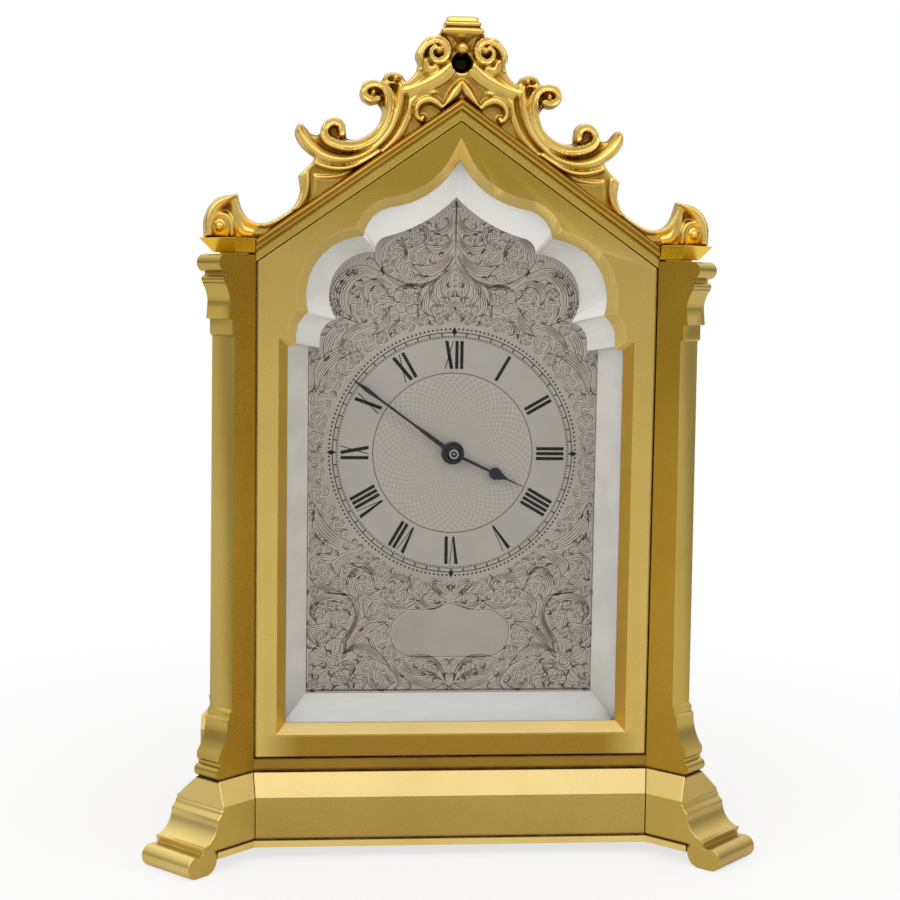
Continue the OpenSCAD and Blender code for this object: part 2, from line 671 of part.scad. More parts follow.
module cresting() {
    ball_z = crest_top - 9;
    color(gilt) {
        difference() {
            upright(crest_d, crest_d + crest_t) polygon(concat(crest_half, mirrored(crest_half)));
            translate([0, fy(crest_d + 2), ball_z - 4]) rotate([90, 0, 0]) cylinder(h = 4, r = 2.6);
        }
        for (sx = [0, 1]) mirror([sx, 0, 0]) {
            volute(corner_scroll + [1.6, -1.2], corner_scroll_r * 0.6);
            volute(low_volute, low_volute_r);
            volute(high_volute, high_volute_r);
            volute(curl, curl_r);
            volute(top_volute, top_volute_r * 0.8);
            volute(inner_scroll, inner_scroll_r);
            scroll_band(scroll_c, scroll_r + 1, 2.6, -95, -165);
        }
        // Lancet leaf over the apex
        upright(crest_d - crest_relief, crest_d + sink)
            polygon([[3.4, rake_z(0) + 0.6], [0, rake_z(0) + 4.6], [-3.4, rake_z(0) + 0.6]]);
        translate([0, fy(crest_d + sink), ball_z + 1]) rotate([90, 0, 0])
            cylinder(h = crest_relief + sink, r = 1.9);
        // Moulded cap
        translate([-cap_half_w, fy(crest_d - crest_relief), crest_top - cap_h])
            cube([2 * cap_half_w, crest_t + crest_relief, cap_h - 2]);
        translate([-cap_half_w + 1.2, fy(crest_d - crest_relief + 0.8), crest_top - cap_h + 1])
            cube([2 * cap_half_w - 2.4, crest_t + crest_relief - 1.6, cap_h - 1]);
        translate([-cap_half_w + 2, fy(crest_d + sink), crest_top - cap_h - 3])
            cube([2 * cap_half_w - 4, crest_t - 2 * sink, 4]);
    }
}

// Hands
hour_hand_d = dial_face - 2.2;
minute_hand_d = dial_face - 3.6;
cannon_r = 1.5;
centre_r = 1;
fit_gap = 0.02;
// Right edge of the minute hand: stout root, thin waist, leaf-shaped point
minute_edge = [[0.8, 0], [0.62, minute_len * 0.27], [0.34, minute_len * 0.4], [0.36, minute_len * 0.72],
    [0.72, minute_len * 0.86], [0.08, minute_len]];
module minute_hand() {
    color(blued) difference() {
        disc([0, 0], minute_hand_d, minute_hand_d + hand_t) rotate(-minute_deg) union() {
            circle(r = 2.6);
            polygon(concat(minute_edge, mirrored(minute_edge)));
        }
        bar([0, 0], minute_hand_d - 1, minute_hand_d + hand_t + 1, cannon_r + fit_gap);
    }
}
spade_y = 14.4;
spade_r = 1.9;
// Right edge of the hour hand: thin stem, round spade, fine point
hour_edge = [[0.55, 0], [0.38, spade_y - spade_r], [spade_r * 0.9, spade_y + 0.8], [0.5, spade_y + 3.2],
    [0.3, spade_y + 4], [0.08, hour_len]];
module hour_hand() {
    color(blued) difference() {
        disc([0, 0], hour_hand_d, hour_hand_d + hand_t) rotate(-hour_deg) union() {
            circle(r = 3.3);
            polygon(concat(hour_edge, mirrored(hour_edge)));
            translate([0, spade_y]) circle(r = spade_r);
        }
        bar([0, 0], hour_hand_d - 1, hour_hand_d + hand_t + 1, pipe_r + fit_gap);
    }
}
module hand_collet() {
    color(brass) difference() {
        translate([0, fy(minute_hand_d - 0.05), dial_z]) rotate([90, 0, 0])
            rotate_extrude() polygon([[0, 0], [2.2, 0], [2.2, 0.3], [1.5, 0.9], [0, 0.9]]);
        bar([0, 0], minute_hand_d - 2, minute_hand_d + 1, centre_r + run_gap);
    }
}

// Gear outline with straight-sided teeth that leave backlash at the pitch circle
function gear(n, m) = [for (i = [0:n - 1], k = [[-0.24, -0.95], [-0.11, 0.75], [0.11, 0.75], [0.24, -0.95]])
    let (a = 360 / n * (i + k[0]), r = m * n / 2 + k[1] * m) r * [cos(a), sin(a)]];
function root_r(n, m) = m * n / 2 - 0.95 * m;

// Wheel with a rim, a hub and four spokes
module wheel(at, from, t, n, m, turn, hub) {
    rim = root_r(n, m) - 1.4;
    disc(at, from, from + t) rotate(turn) difference() {
        polygon(gear(n, m));
        difference() {
            circle(r = rim);
            circle(r = hub);
            for (a = [0, 90]) rotate(a) square([2 * rim + 1, 1.6], center = true);
        }
    }
}
module pinion(at, from, to, n, m, turn) { disc(at, from, to) rotate(turn) polygon(gear(n, m)); }

// Motion work: cannon pinion, minute wheel and hour wheel, 12 to 1
cannon_n = 12;
minute_n = 36;
minute_pinion_n = 10;
hour_n = 40;
motion_m = 0.4;
motion_cd = (cannon_n + minute_n) * motion_m / 2;
hour_m = 2 * motion_cd / (minute_pinion_n + hour_n);
motion_dir = 60;
minute_at = polar(motion_dir, motion_cd);
hour_wheel_d = dial_back + 0.6;
minute_wheel_d = dial_back + 2.5;
stud_r = 0.8;

module cannon_pinion() {
    color(steel) difference() {
        union() {
            bar([0, 0], minute_hand_d, front_plate_d - 0.4, cannon_r);
            pinion([0, 0], minute_wheel_d - 0.2, minute_wheel_d + 1.2, cannon_n, motion_m, motion_dir);
        }
        bar([0, 0], minute_hand_d - 1, front_plate_d, centre_r + run_gap);
    }
}
module minute_wheel() {
    color(brass) difference() {
        union() {
            pinion(minute_at, hour_wheel_d - 0.1, minute_wheel_d, minute_pinion_n, hour_m, motion_dir + 180);
            wheel(minute_at, minute_wheel_d, 1, minute_n, motion_m, motion_dir + 180 + 180 / minute_n, 2.4);
            bar(minute_at, minute_wheel_d, front_plate_d - 0.3, 1.6);
        }
        bar(minute_at, dial_back, front_plate_d, stud_r + run_gap);
    }
}
module hour_wheel() {
    color(brass) difference() {
        union() {
            bar([0, 0], hour_hand_d, hour_wheel_d + 1, pipe_r);
            wheel([0, 0], hour_wheel_d, 1, hour_n, hour_m, motion_dir + 180 / hour_n, 3.6);
        }
        bar([0, 0], hour_hand_d - 1, hour_wheel_d + 2, cannon_r + run_gap);
    }
}

// Going train, placed about the dial centre
great_n = 80;
great_m = 0.5;
train_pinion_n = 10;
second_n = 48;
second_m = 0.6;
centre_n = 80;
centre_m = 0.36;
third_n = 75;
third_m = 0.35;
crown_n = 60;
barrel_at = [-4, -23.3];
second_at = crossing(barrel_at, (great_n + train_pinion_n) * great_m / 2,
    [0, 0], (second_n + train_pinion_n) * second_m / 2, -1);
third_dir = 130;
third_at = polar(third_dir, (centre_n + train_pinion_n) * centre_m / 2);
crown_dir = 24.6;
crown_at = third_at + polar(crown_dir, (third_n + train_pinion_n) * third_m / 2);
shoulder_gap = 0.2;
// Depths of the wheels behind the front plate
centre_wheel_in = 0.6;
great_wheel_in = 2.1;
third_wheel_in = 5.6;
crown_in = 9.6;
centre_wheel_d = train_d + centre_wheel_in;
great_wheel_d = train_d + great_wheel_in;
great_wheel_t = 2.5;
third_wheel_d = train_d + third_wheel_in;
crown_d = train_d + crown_in;
drum_r = 17.5;
drum_d = great_wheel_d + great_wheel_t;
drum_h = 12.5;
second_wheel_d = drum_d + drum_h + 1.5;

// Arbor between the plates with a pivot at each end
module arbor(at) {
    bar(at, train_d + shoulder_gap, back_plate_d - shoulder_gap, arbor_r);
    bar(at, front_plate_d + 0.3, back_d - 0.3, pivot_r);
}
// Direction that brings a tooth gap of the second wheel onto a tooth of the first
function meshed(direction, n) = direction + 180 + 180 / n;

barrel_pinion_dir = bearing(barrel_at, second_at);
second_centre_dir = bearing(second_at, [0, 0]);
module barrel() {
    color(brass) difference() {
        union() {
            disc(barrel_at, great_wheel_d, drum_d) rotate(barrel_pinion_dir) polygon(gear(great_n, great_m));
            bar(barrel_at, drum_d, drum_d + drum_h, drum_r);
        }
        bar(barrel_at, great_wheel_d - 1, drum_d + 1, barrel_arbor_r + run_gap);
        bar(barrel_at, drum_d + 0.5, drum_d + drum_h + 1, drum_r - 1);
    }
}

// Flat spiral between two radii
function spiral(r0, r1, turns, steps) =
    [for (i = [0:turns * steps]) polar(360 * i / steps, r0 + (r1 - r0) * i / (turns * steps))];
module coil(r0, r1, turns, steps, w) {
    line = spiral(r0, r1, turns, steps);
    outer = spiral(r0 + w, r1 + w, turns, steps);
    polygon(concat(outer, [for (i = [len(line) - 1:-1:0]) line[i]]));
}
module mainspring() {
    color(steel) disc(barrel_at, drum_d + 1.2, drum_d + drum_h - 1.2)
        coil(barrel_arbor_r + 2, drum_r - 1.8, 6, 24, 0.5);
}

ratchet_n = 24;
ratchet_r = 9;
ratchet_depth = 1.2;
ratchet_d = back_d + 0.4;
ratchet_t = 2;
winding_reach = 9;
square_r = barrel_arbor_r * 0.92;
module barrel_arbor() {
    color(steel) {
        bar(barrel_at, train_d + shoulder_gap, drum_d + 1, barrel_arbor_r);
        bar(barrel_at, front_plate_d + 0.3, drum_d, pivot_r * 2);
        bar(barrel_at, drum_d, ratchet_d + ratchet_t, barrel_arbor_r);
        disc(barrel_at, ratchet_d, ratchet_d + ratchet_t + winding_reach) circle(r = square_r, $fn = 4);
    }
}
module ratchet_wheel() {
    color(steel) difference() {
        disc(barrel_at, ratchet_d, ratchet_d + ratchet_t)
            polygon([for (i = [0:ratchet_n - 1]) let (a = 360 / ratchet_n * i)
                each [polar(a, ratchet_r - ratchet_depth), polar(a, ratchet_r)]]);
        bar(barrel_at, ratchet_d - 1, ratchet_d + ratchet_t + 1, barrel_arbor_r + fit_gap);
    }
}

click_dir = 60;
click_at = barrel_at + polar(25, ratchet_r + 4);
click_stud_r = 1;
module click() {
    nose = ratchet_r - 0.5;
    color(steel) difference() {
        union() {
            disc(barrel_at, ratchet_d, ratchet_d + ratchet_t) polygon([
                polar(click_dir - 0.8, nose), polar(click_dir - 0.8, nose + 2.5),
                polar(28, ratchet_r + 5.4), polar(22, ratchet_r + 2.6),
                polar(click_dir - 8, ratchet_r + 0.6), polar(click_dir - 5, nose)]);
            bar(click_at, ratchet_d, ratchet_d + ratchet_t, 2.4);
        }
        bar(click_at, ratchet_d - 1, ratchet_d + ratchet_t + 1, click_stud_r + run_gap);
    }
}

module intermediate_wheel() {
    color(brass) {
        arbor(second_at);
        pinion(second_at, great_wheel_d - 0.3, drum_d + 0.3, train_pinion_n, great_m,
            meshed(barrel_pinion_dir, train_pinion_n));
        wheel(second_at, second_wheel_d, wheel_t, second_n, second_m, second_centre_dir, 3);
    }
}
module centre_wheel() {
    color(brass) {
        arbor([0, 0]);
        bar([0, 0], minute_hand_d - 0.5, train_d + 1, centre_r);
        pinion([0, 0], second_wheel_d - 0.3, second_wheel_d + wheel_t + 0.3, train_pinion_n, second_m,
            meshed(second_centre_dir, train_pinion_n));
        wheel([0, 0], centre_wheel_d, wheel_t, centre_n, centre_m, third_dir, 3);
    }
}
module third_wheel() {
    color(brass) {
        arbor(third_at);
        pinion(third_at, centre_wheel_d - 0.1, centre_wheel_d + wheel_t + 0.3, train_pinion_n, centre_m,
            meshed(third_dir, train_pinion_n));
        wheel(third_at, third_wheel_d, wheel_t, third_n, third_m, crown_dir, 3);
    }
}

crown_r0 = 11.2;
crown_r1 = 12.8;
crown_tooth_h = 1.2;
module contrate_wheel() {
    color(brass) {
        arbor(crown_at);
        pinion(crown_at, third_wheel_d - 0.2, third_wheel_d + wheel_t + 0.2, train_pinion_n, third_m,
            meshed(crown_dir, train_pinion_n));
        disc(crown_at, crown_d, crown_d + 1.4) difference() {
            circle(r = crown_r1);
            difference() {
                circle(r = crown_r0 - 1);
                circle(r = 3);
                for (a = [0, 90]) rotate(a) square([2 * crown_r0, 1.6], center = true);
            }
        }
        disc(crown_at, crown_d + 1.2, crown_d + 1.4 + crown_tooth_h)
            for (i = [0:crown_n - 1]) rotate(90 + 360 / crown_n * i)
                translate([crown_r0, -0.24]) square([crown_r1 - crown_r0, 0.48]);
    }
}

// Platform escapement on top of the plates
platform_z = dial_z + plate_up;
platform_t = 2;
platform_top = platform_z + platform_t;
escape_d = crown_d + 3.5;
escape_n = 15;
escape_r = 5.2;
lever_x = crown_at[0] - 7;
balance_x = crown_at[0] - 15.5;
balance_r = 8;
cock_x = balance_x - balance_r - 3;
staff_r = 0.5;
lever_z = platform_top + 1.2;
balance_z = platform_top + 4.5;
cock_z = balance_z + 2.6;

// Upright staff on the platform
module staff(x, from, to, r) { translate([x, fy(escape_d), from]) cylinder(h = to - from, r = r); }
// Flat outline on the platform, about a staff
module flat(x, from, t) { translate([x, fy(escape_d), from]) linear_extrude(t) children(); }

platform_left = 4;
platform_right = 8;
module platform() {
    color(brass) difference() {
        translate([cock_x - platform_left, fy(front_plate_d), platform_z])
            cube([crown_at[0] - cock_x + platform_left + platform_right, back_d - front_plate_d, platform_t]);
        staff(crown_at[0], platform_z - 1, platform_top + 1, arbor_r + run_gap);
        staff(lever_x, platform_z - 1, platform_top + 1, staff_r + run_gap);
        staff(balance_x, platform_z - 1, platform_top + 1, staff_r + run_gap);
    }
}
escape_pinion_n = 6;
escape_pinion_r = 1.5;
module escape_wheel() {
    low = dial_z + crown_at[1] + crown_r0 - 0.4;
    color(steel) {
        staff(crown_at[0], low, lever_z + 1.6, 0.75);
        staff(crown_at[0], low + crown_r1 - crown_r0 + 1.2, lever_z, arbor_r);
        flat(crown_at[0], low, crown_r1 - crown_r0 + 1)
            for (i = [0:escape_pinion_n - 1]) rotate(360 / escape_pinion_n * i)
                translate([0, -0.2]) square([escape_pinion_r, 0.4]);
        flat(crown_at[0], lever_z, 0.6) difference() {
            polygon([for (i = [0:escape_n - 1]) let (a = 360 / escape_n * i)
                each [polar(a - 4, escape_r - 1.2), polar(a, escape_r), polar(a + 2, escape_r),
                    polar(a + 4, escape_r - 1.2)]]);
            difference() {
                circle(r = escape_r - 2);
                circle(r = 1.6);
                for (a = [0, 90]) rotate(a) square([2 * escape_r - 3, 0.8], center = true);
            }
        }
    }
}
pin_reach = 1.4;
fork_reach = lever_x - balance_x - pin_reach - 1.1;
module pallet_lever() {
    color(steel) {
        staff(lever_x, platform_z + 0.3, lever_z + 2, staff_r);
        flat(lever_x, lever_z, 0.6) {
            circle(r = 1.1);
            polygon([[0.6, -0.5], [0.6, 0.5], [-fork_reach + 0.6, 0.4], [-fork_reach + 0.6, -0.4]]);
            for (sy = [-1, 1]) {
                polygon([[0, 0], [1.4, 0.3 * sy], [1.9, 2.6 * sy], [1.9, 3.6 * sy], [1, 3.6 * sy],
                    [0.6, 2.6 * sy]]);
                polygon([[-fork_reach + 1.2, 0], [-fork_reach + 1.2, 1.1 * sy], [-fork_reach - 0.5, 1.1 * sy],
                    [-fork_reach - 0.5, 0.55 * sy], [-fork_reach + 0.7, 0.55 * sy]]);
            }
        }
    }
}
module balance_wheel() {
    color(brass) {
        staff(balance_x, platform_z + 0.3, cock_z + 1.2, staff_r);
        staff(balance_x, lever_z + 1, lever_z + 1.6, pin_reach + 0.5);
        translate([balance_x + pin_reach, fy(escape_d), lever_z - 0.2]) cylinder(h = 1.5, r = 0.25);
        flat(balance_x, balance_z, 1) difference() {
            circle(r = balance_r);
            difference() {
                circle(r = balance_r - 1);
                circle(r = 1.4);
                square([2 * balance_r, 1.2], center = true);
            }
        }
        flat(balance_x, balance_z + 1.4, 0.5) {
            coil(0.8, 4.6, 4, 16, 0.2);
            circle(r = 1);
        }
        staff(balance_x, balance_z, balance_z + 1.9, 0.9);
    }
}
cock_w = 4.8;
cock_l = 10;
cock_t = 1.6;
cock_eye_r = 2.6;
module balance_cock() {
    color(brass) difference() {
        union() {
            translate([cock_x - cock_w / 2, fy(escape_d) - cock_l / 2, platform_top])
                cube([cock_w, cock_l, cock_z - platform_top + cock_t]);
            flat(cock_x, cock_z, cock_t) polygon([[0, -cock_l / 2], [balance_x - cock_x, -cock_eye_r],
                [balance_x - cock_x, cock_eye_r], [0, cock_l / 2]]);
            staff(balance_x, cock_z, cock_z + cock_t, cock_eye_r);
        }
        staff(balance_x, cock_z - 1, cock_z + 3, staff_r + run_gap);
    }
}

// Movement plates, bored for the pivots and the pillar screws
spigot_r = 1.5;
pillar_in = 5;
pillar_at = [for (sx = [-1, 1], z = [plate_up - pillar_in, pillar_in - plate_down])
    [sx * (plate_w / 2 - pillar_in), z]];
module plate(from) {
    difference() {
        disc([0, 0], from, from + plate_t) polygon(rect(-plate_w / 2, plate_w / 2, -plate_down, plate_up));
        for (at = [second_at, third_at, crown_at]) bar(at, from - 1, from + plate_t + 1, pivot_r + run_gap);
        for (at = pillar_at) bar(at, from - 1, from + plate_t + 1, spigot_r + screw_gap);
        children();
    }
}
module movement_front_plate() {
    color(brass) {
        plate(front_plate_d) {
            bar(barrel_at, front_plate_d - 1, train_d + 1, pivot_r * 2 + run_gap);
            bar([0, 0], front_plate_d - 1, train_d + 1, centre_r + run_gap);
        }
        bar(minute_at, dial_back + 0.2, front_plate_d, stud_r);
    }
}
module movement_back_plate() {
    color(brass) {
        plate(back_plate_d) {
            bar(barrel_at, back_plate_d - 1, back_d + 1, barrel_arbor_r + run_gap);
            bar([0, 0], back_plate_d - 1, back_d + 1, pivot_r + run_gap);
        }
        bar(click_at, back_d, ratchet_d + ratchet_t + 0.6, click_stud_r);
    }
}
module movement_pillars() {
    color(brass) for (at = pillar_at) {
        bar(at, train_d, back_plate_d, 2 * spigot_r);
        bar(at, front_plate_d, back_d + 1.8, spigot_r);
        disc(at, back_d, back_d + 1.4) circle(r = 2 * spigot_r, $fn = 6);
    }
}

// Rear frame, door and hinges
door_z = deck_z + door_sill;
hinge_x = -door_w / 2 - door_gap / 2;
hinge_lift = 0.1;
hinge_y = body_d / 2 + knuckle_r + hinge_lift;
leaf_start = knuckle_r + 0.3;
knuckle_gap = 0.3;
hinge_in = 16;
hinge_zs = [door_z + hinge_in, door_z + door_h - hinge_in - hinge_h];
module rear_frame() {
    color(gilt) difference() {
        upright(body_d - frame_t, body_d) gable_outline();
        upright(body_d - frame_t - 1, body_d + 1)
            polygon(rect(-door_w / 2 - door_gap, door_w / 2 + door_gap,
                door_z - door_gap, door_z + door_h + door_gap));
    }
}
module rear_door() {
    color(gilt_dark) upright(body_d - door_t, body_d)
        polygon(rect(-door_w / 2, door_w / 2, door_z, door_z + door_h));
}
module door_knob() {
    color(gilt) translate([door_w / 2 - 2 * knob_r, body_d / 2, door_z + door_h / 2]) rotate([-90, 0, 0])
        rotate_extrude() polygon(concat(
            [[0, 0], [knob_r * 0.8, 0], [knob_r * 0.8, 0.8], [knob_r * 0.4, 1.4], [knob_r * 0.4, 3]],
            arc([knob_r * 0.5, 3 + knob_r * 0.5], knob_r * 0.5, -90, 90, 8), [[0, 3 + knob_r]]));
}

// Knuckle with its strap down to the leaf
module knuckle(z, h, side) {
    translate([hinge_x, hinge_y, z]) cylinder(h = h, r = knuckle_r);
    translate([side > 0 ? hinge_x : hinge_x - leaf_start, body_d / 2, z]) cube([leaf_start, hinge_leaf_t, h]);
}
module leaf(z, side) {
    translate([side > 0 ? hinge_x + leaf_start : hinge_x - leaf_start - hinge_leaf_w, body_d / 2, z])
        cube([hinge_leaf_w, hinge_leaf_t, hinge_h]);
}
third_h = hinge_h / 3;
module hinge_frame_leaves() {
    color(brass) for (z = hinge_zs) {
        leaf(z, -1);
        knuckle(z, third_h - knuckle_gap / 2, -1);
        knuckle(z + 2 * third_h + knuckle_gap / 2, third_h - knuckle_gap / 2, -1);
        translate([hinge_x, hinge_y, z - 0.6]) cylinder(h = hinge_h + 1.2, r = hinge_pin_r);
    }
}
module hinge_door_leaves() {
    color(brass) for (z = hinge_zs) {
        leaf(z, 1);
        difference() {
            knuckle(z + third_h + knuckle_gap / 2, third_h - knuckle_gap, 1);
            translate([hinge_x, hinge_y, z]) cylinder(h = hinge_h, r = hinge_pin_r + run_gap);
        }
    }
}

module foot_front_left() { foot(-1, -1); }
module foot_front_right() { foot(1, -1); }
module foot_rear_left() { foot(-1, 1); }
module foot_rear_right() { foot(1, 1); }
module pillar_front_left() { pillar(-1, -1); }
module pillar_front_right() { pillar(1, -1); }
module pillar_rear_left() { pillar(-1, 1); }
module pillar_rear_right() { pillar(1, 1); }
module abacus_front_left() { abacus(-1, -1); }
module abacus_front_right() { abacus(1, -1); }
module abacus_rear_left() { abacus(-1, 1); }
module abacus_rear_right() { abacus(1, 1); }

// The feet reach further forward than back, so the clock is moved until the table's origin is midway
front_reach = (corner_r + toe_c + toe_r + foot_over) * diag;
rear_reach = (corner_r + max(rear_heel_r, foot_block_r + ridge_w) + foot_over) * diag;
module placed() {
    translate([0, (front_reach - rear_reach) / 2, 0]) children();
}

placed() base_plate();
placed() plinth_front_panel();
placed() plinth_rear_panel();
placed() plinth_left_panel();
placed() plinth_right_panel();
placed() foot_front_left();
placed() foot_front_right();
placed() foot_rear_left();
placed() foot_rear_right();
placed() case_screws();
placed() deck_plate();
placed() pillar_front_left();
placed() pillar_front_right();
placed() pillar_rear_left();
placed() pillar_rear_right();
placed() side_panel_left();
placed() side_panel_right();
placed() front_frame();
placed() rear_frame();
placed() raking_cornice_front();
placed() raking_cornice_rear();
placed() abacus_front_left();
placed() abacus_front_right();
placed() abacus_rear_left();
placed() abacus_rear_right();
placed() eave_left();
placed() eave_right();
placed() roof_left();
placed() roof_right();
placed() cresting();
placed() front_glass();
placed() dial_slip();
placed() dial_plate();
placed() minute_hand();
placed() hour_hand();
placed() hand_collet();
placed() cannon_pinion();
placed() minute_wheel();
placed() hour_wheel();
placed() movement_front_plate();
placed() movement_back_plate();
placed() movement_pillars();
placed() barrel();
placed() mainspring();
placed() barrel_arbor();
placed() ratchet_wheel();
placed() click();
placed() intermediate_wheel();
placed() centre_wheel();
placed() third_wheel();
placed() contrate_wheel();
placed() platform();
placed() escape_wheel();
placed() pallet_lever();
placed() balance_wheel();
placed() balance_cock();
placed() rear_door();
placed() door_knob();
placed() hinge_frame_leaves();
placed() hinge_door_leaves();
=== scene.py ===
"""Gilt brass mantel clock: gabled case, cusped dial opening and scrolled cresting, dressed over the CAD frame."""
import json
from math import copysign, cos, exp, pi, radians, sin

import bmesh
import bpy
import numpy as np
from mathutils import Matrix, Vector


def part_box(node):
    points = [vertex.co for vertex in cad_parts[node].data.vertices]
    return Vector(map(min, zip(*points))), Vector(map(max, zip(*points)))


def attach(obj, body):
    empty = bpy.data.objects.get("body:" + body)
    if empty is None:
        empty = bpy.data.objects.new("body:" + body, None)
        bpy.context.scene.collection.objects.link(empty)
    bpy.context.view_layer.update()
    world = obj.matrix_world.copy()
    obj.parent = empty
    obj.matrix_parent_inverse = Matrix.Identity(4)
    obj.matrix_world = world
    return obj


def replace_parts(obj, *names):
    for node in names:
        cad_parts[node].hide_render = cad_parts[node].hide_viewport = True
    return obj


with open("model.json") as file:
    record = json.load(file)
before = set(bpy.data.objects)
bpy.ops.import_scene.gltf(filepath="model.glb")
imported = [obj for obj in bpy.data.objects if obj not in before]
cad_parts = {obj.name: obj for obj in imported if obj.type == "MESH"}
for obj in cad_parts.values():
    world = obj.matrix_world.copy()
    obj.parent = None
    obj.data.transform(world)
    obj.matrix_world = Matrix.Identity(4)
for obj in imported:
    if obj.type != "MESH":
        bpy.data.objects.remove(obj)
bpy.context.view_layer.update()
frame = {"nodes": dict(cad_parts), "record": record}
nodes = frame["nodes"]
scene = bpy.context.scene

# Lengths are in mm, and in metres once multiplied by MM
MM = 0.001
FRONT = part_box("front_frame")[0][1] * 1000
REAR_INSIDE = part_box("rear_frame")[0][1] * 1000
GABLE_APEX = 220.8
RAKE_TAN = 42.3 / 60.0
CREST_ROLL = 227.86
DIAL_Z = 121.8
DIAL_FACE = 12.5
CENTRE_R = 24.4
CHAPTER_R = 35.1
WELD = 2e-6


# Node helpers
def link(nt, value, socket):
    """Feed a socket from another node's output, or set it to a constant."""
    if hasattr(value, "is_output"):
        nt.links.new(value, socket)
    else:
        socket.default_value = value


def node(nt, kind, *values, **settings):
    """A new node with its settings, and its first inputs fed in order."""
    n = nt.nodes.new("ShaderNode" + kind)
    for key, value in settings.items():
        setattr(n, key, value)
    for value, socket in zip(values, n.inputs):
        link(nt, value, socket)
    return n


def calc(nt, op, *values):
    return node(nt, "Math", *values, operation=op).outputs[0]


def place(nt):
    """Place on the piece, in metres of the shared frame."""
    return nt.nodes.new("ShaderNodeTexCoord").outputs["Object"]


def new_material(name, metallic=0.0, roughness=0.5):
    m = bpy.data.materials.new(name)
    m.use_nodes = True
    b = m.node_tree.nodes["Principled BSDF"]
    b.inputs["Metallic"].default_value = metallic
    b.inputs["Roughness"].default_value = roughness
    return m, m.node_tree, b


def noise(nt, scale, detail, stretch=(1, 1, 1)):
    mapping = nt.nodes.new("ShaderNodeMapping")
    mapping.inputs["Scale"].default_value = stretch
    nt.links.new(place(nt), mapping.inputs["Vector"])
    n = nt.nodes.new("ShaderNodeTexNoise")
    for key, value in (("Vector", mapping.outputs[0]), ("Scale", scale), ("Detail", detail), ("Roughness", 0.55)):
        link(nt, value, n.inputs[key])
    return n.outputs["Fac"]


def ramp(nt, fac, stops):
    r = node(nt, "ValToRGB", fac)
    while len(r.color_ramp.elements) < len(stops):
        r.color_ramp.elements.new(0.5)
    for e, (at, col) in zip(r.color_ramp.elements, stops):
        e.position = at
        e.color = (*col, 1.0)
    return r.outputs["Color"]


def spread(nt, fac, low, high, lo=0.0, hi=1.0, **settings):
    """low to high as the factor goes from lo to hi."""
    return node(nt, "MapRange", fac, lo, hi, low, high, **settings).outputs["Result"]


def mix(nt, fac, a, b):
    n = node(nt, "Mix", fac, data_type="RGBA")
    for value, socket in ((a, n.inputs[6]), (b, n.inputs[7])):
        link(nt, (*value, 1.0) if isinstance(value, tuple) else value, socket)
    return n.outputs[2]


def blend(nt, fac, one, two):
    return node(nt, "MixShader", fac, one.outputs[0], two.outputs[0])


def paint(nt, b, colour, roughness):
    nt.links.new(colour, b.inputs["Base Color"])
    nt.links.new(roughness, b.inputs["Roughness"])


def bump(nt, b, height, strength, distance=0.05):
    n = nt.nodes.new("ShaderNodeBump")
    n.inputs["Strength"].default_value = strength
    n.inputs["Distance"].default_value = distance * MM
    nt.links.new(height, n.inputs["Height"])
    nt.links.new(n.outputs["Normal"], b.inputs["Normal"])


def band(nt, axis, at, half, core=0.35):
    """1 on the plane at a distance along an axis, falling to 0 half a width away; X is taken on both sides."""
    value = node(nt, "SeparateXYZ", place(nt)).outputs[axis]
    if axis == "X":
        value = calc(nt, "ABSOLUTE", value)
    value = calc(nt, "ABSOLUTE", calc(nt, "SUBTRACT", value, at * MM))
    return spread(nt, value, 1.0, 0.0, half * core * MM, half * MM)


# Materials
# Colours of painted shade: in the joints between parts, on the front frame's lower rail and on its gable
JOINT_SHADE = (0.045, 0.022, 0.007)
AMBER = (0.335, 0.19, 0.028)
GABLE_SHADE = (0.45, 0.295, 0.046)
CLOUDS, SPOTS, SEAM_BREAKUP, GRAIN = 26, 420, 300, 5200


def gilt(name, light, dark, rough, seams=(), shade_patches=(), metallic=1.0):
    """Gilding with a cloudy patina; seams are bands of painted shade along the joints between parts, and the tints
    where two bands cross are painted shade too.
    """
    m, nt, b = new_material("gilt_" + name, metallic)
    cloud = noise(nt, CLOUDS, 4.0)
    grain = noise(nt, GRAIN, 1.0)
    col = ramp(nt, cloud, [(0.32, dark), (0.66, light)])
    spots = spread(nt, noise(nt, SPOTS, 2.0), 0.0, 0.3, 0.76, 0.86)
    col = mix(nt, spots, col, tuple(c * 0.55 for c in dark))
    for one, two, tint in shade_patches:
        col = mix(nt, calc(nt, "MULTIPLY", band(nt, *one), band(nt, *two)), col, tint)
    for seam in seams:
        # Noise that breaks up the painted shade along a joint
        breakup = spread(nt, noise(nt, SEAM_BREAKUP, 3.0), 0.86, 1.0, 0.35, 0.6)
        col = mix(nt, calc(nt, "MULTIPLY", band(nt, *seam), breakup), col, JOINT_SHADE)
    paint(nt, b, col, spread(nt, grain, *rough, 0.3, 0.7))
    bump(nt, b, cloud, 0.05)
    return m


def plain_metal(name, light, dark, rough, scale, stretch=(1, 1, 1), metallic=1.0, bumps=0.08):
    """Metal, or ink where metallic is 0, with one noise in its colour, roughness and surface."""
    m, nt, b = new_material(name, metallic)
    if metallic == 0:
        b.inputs["Specular IOR Level"].default_value = 0.12
    n = noise(nt, scale, 5.0, stretch)
    paint(nt, b, ramp(nt, n, [(0.35, dark), (0.65, light)]), spread(nt, n, *rough, 0.3, 0.7))
    bump(nt, b, n, bumps)
    return m


# Roughness from the smooth to the rough grain
SATIN, POLISHED, SOFT, CHAMFERED, GRAINED = (0.26, 0.29), (0.2, 0.24), (0.28, 0.32), (0.3, 0.36), (0.36, 0.46)
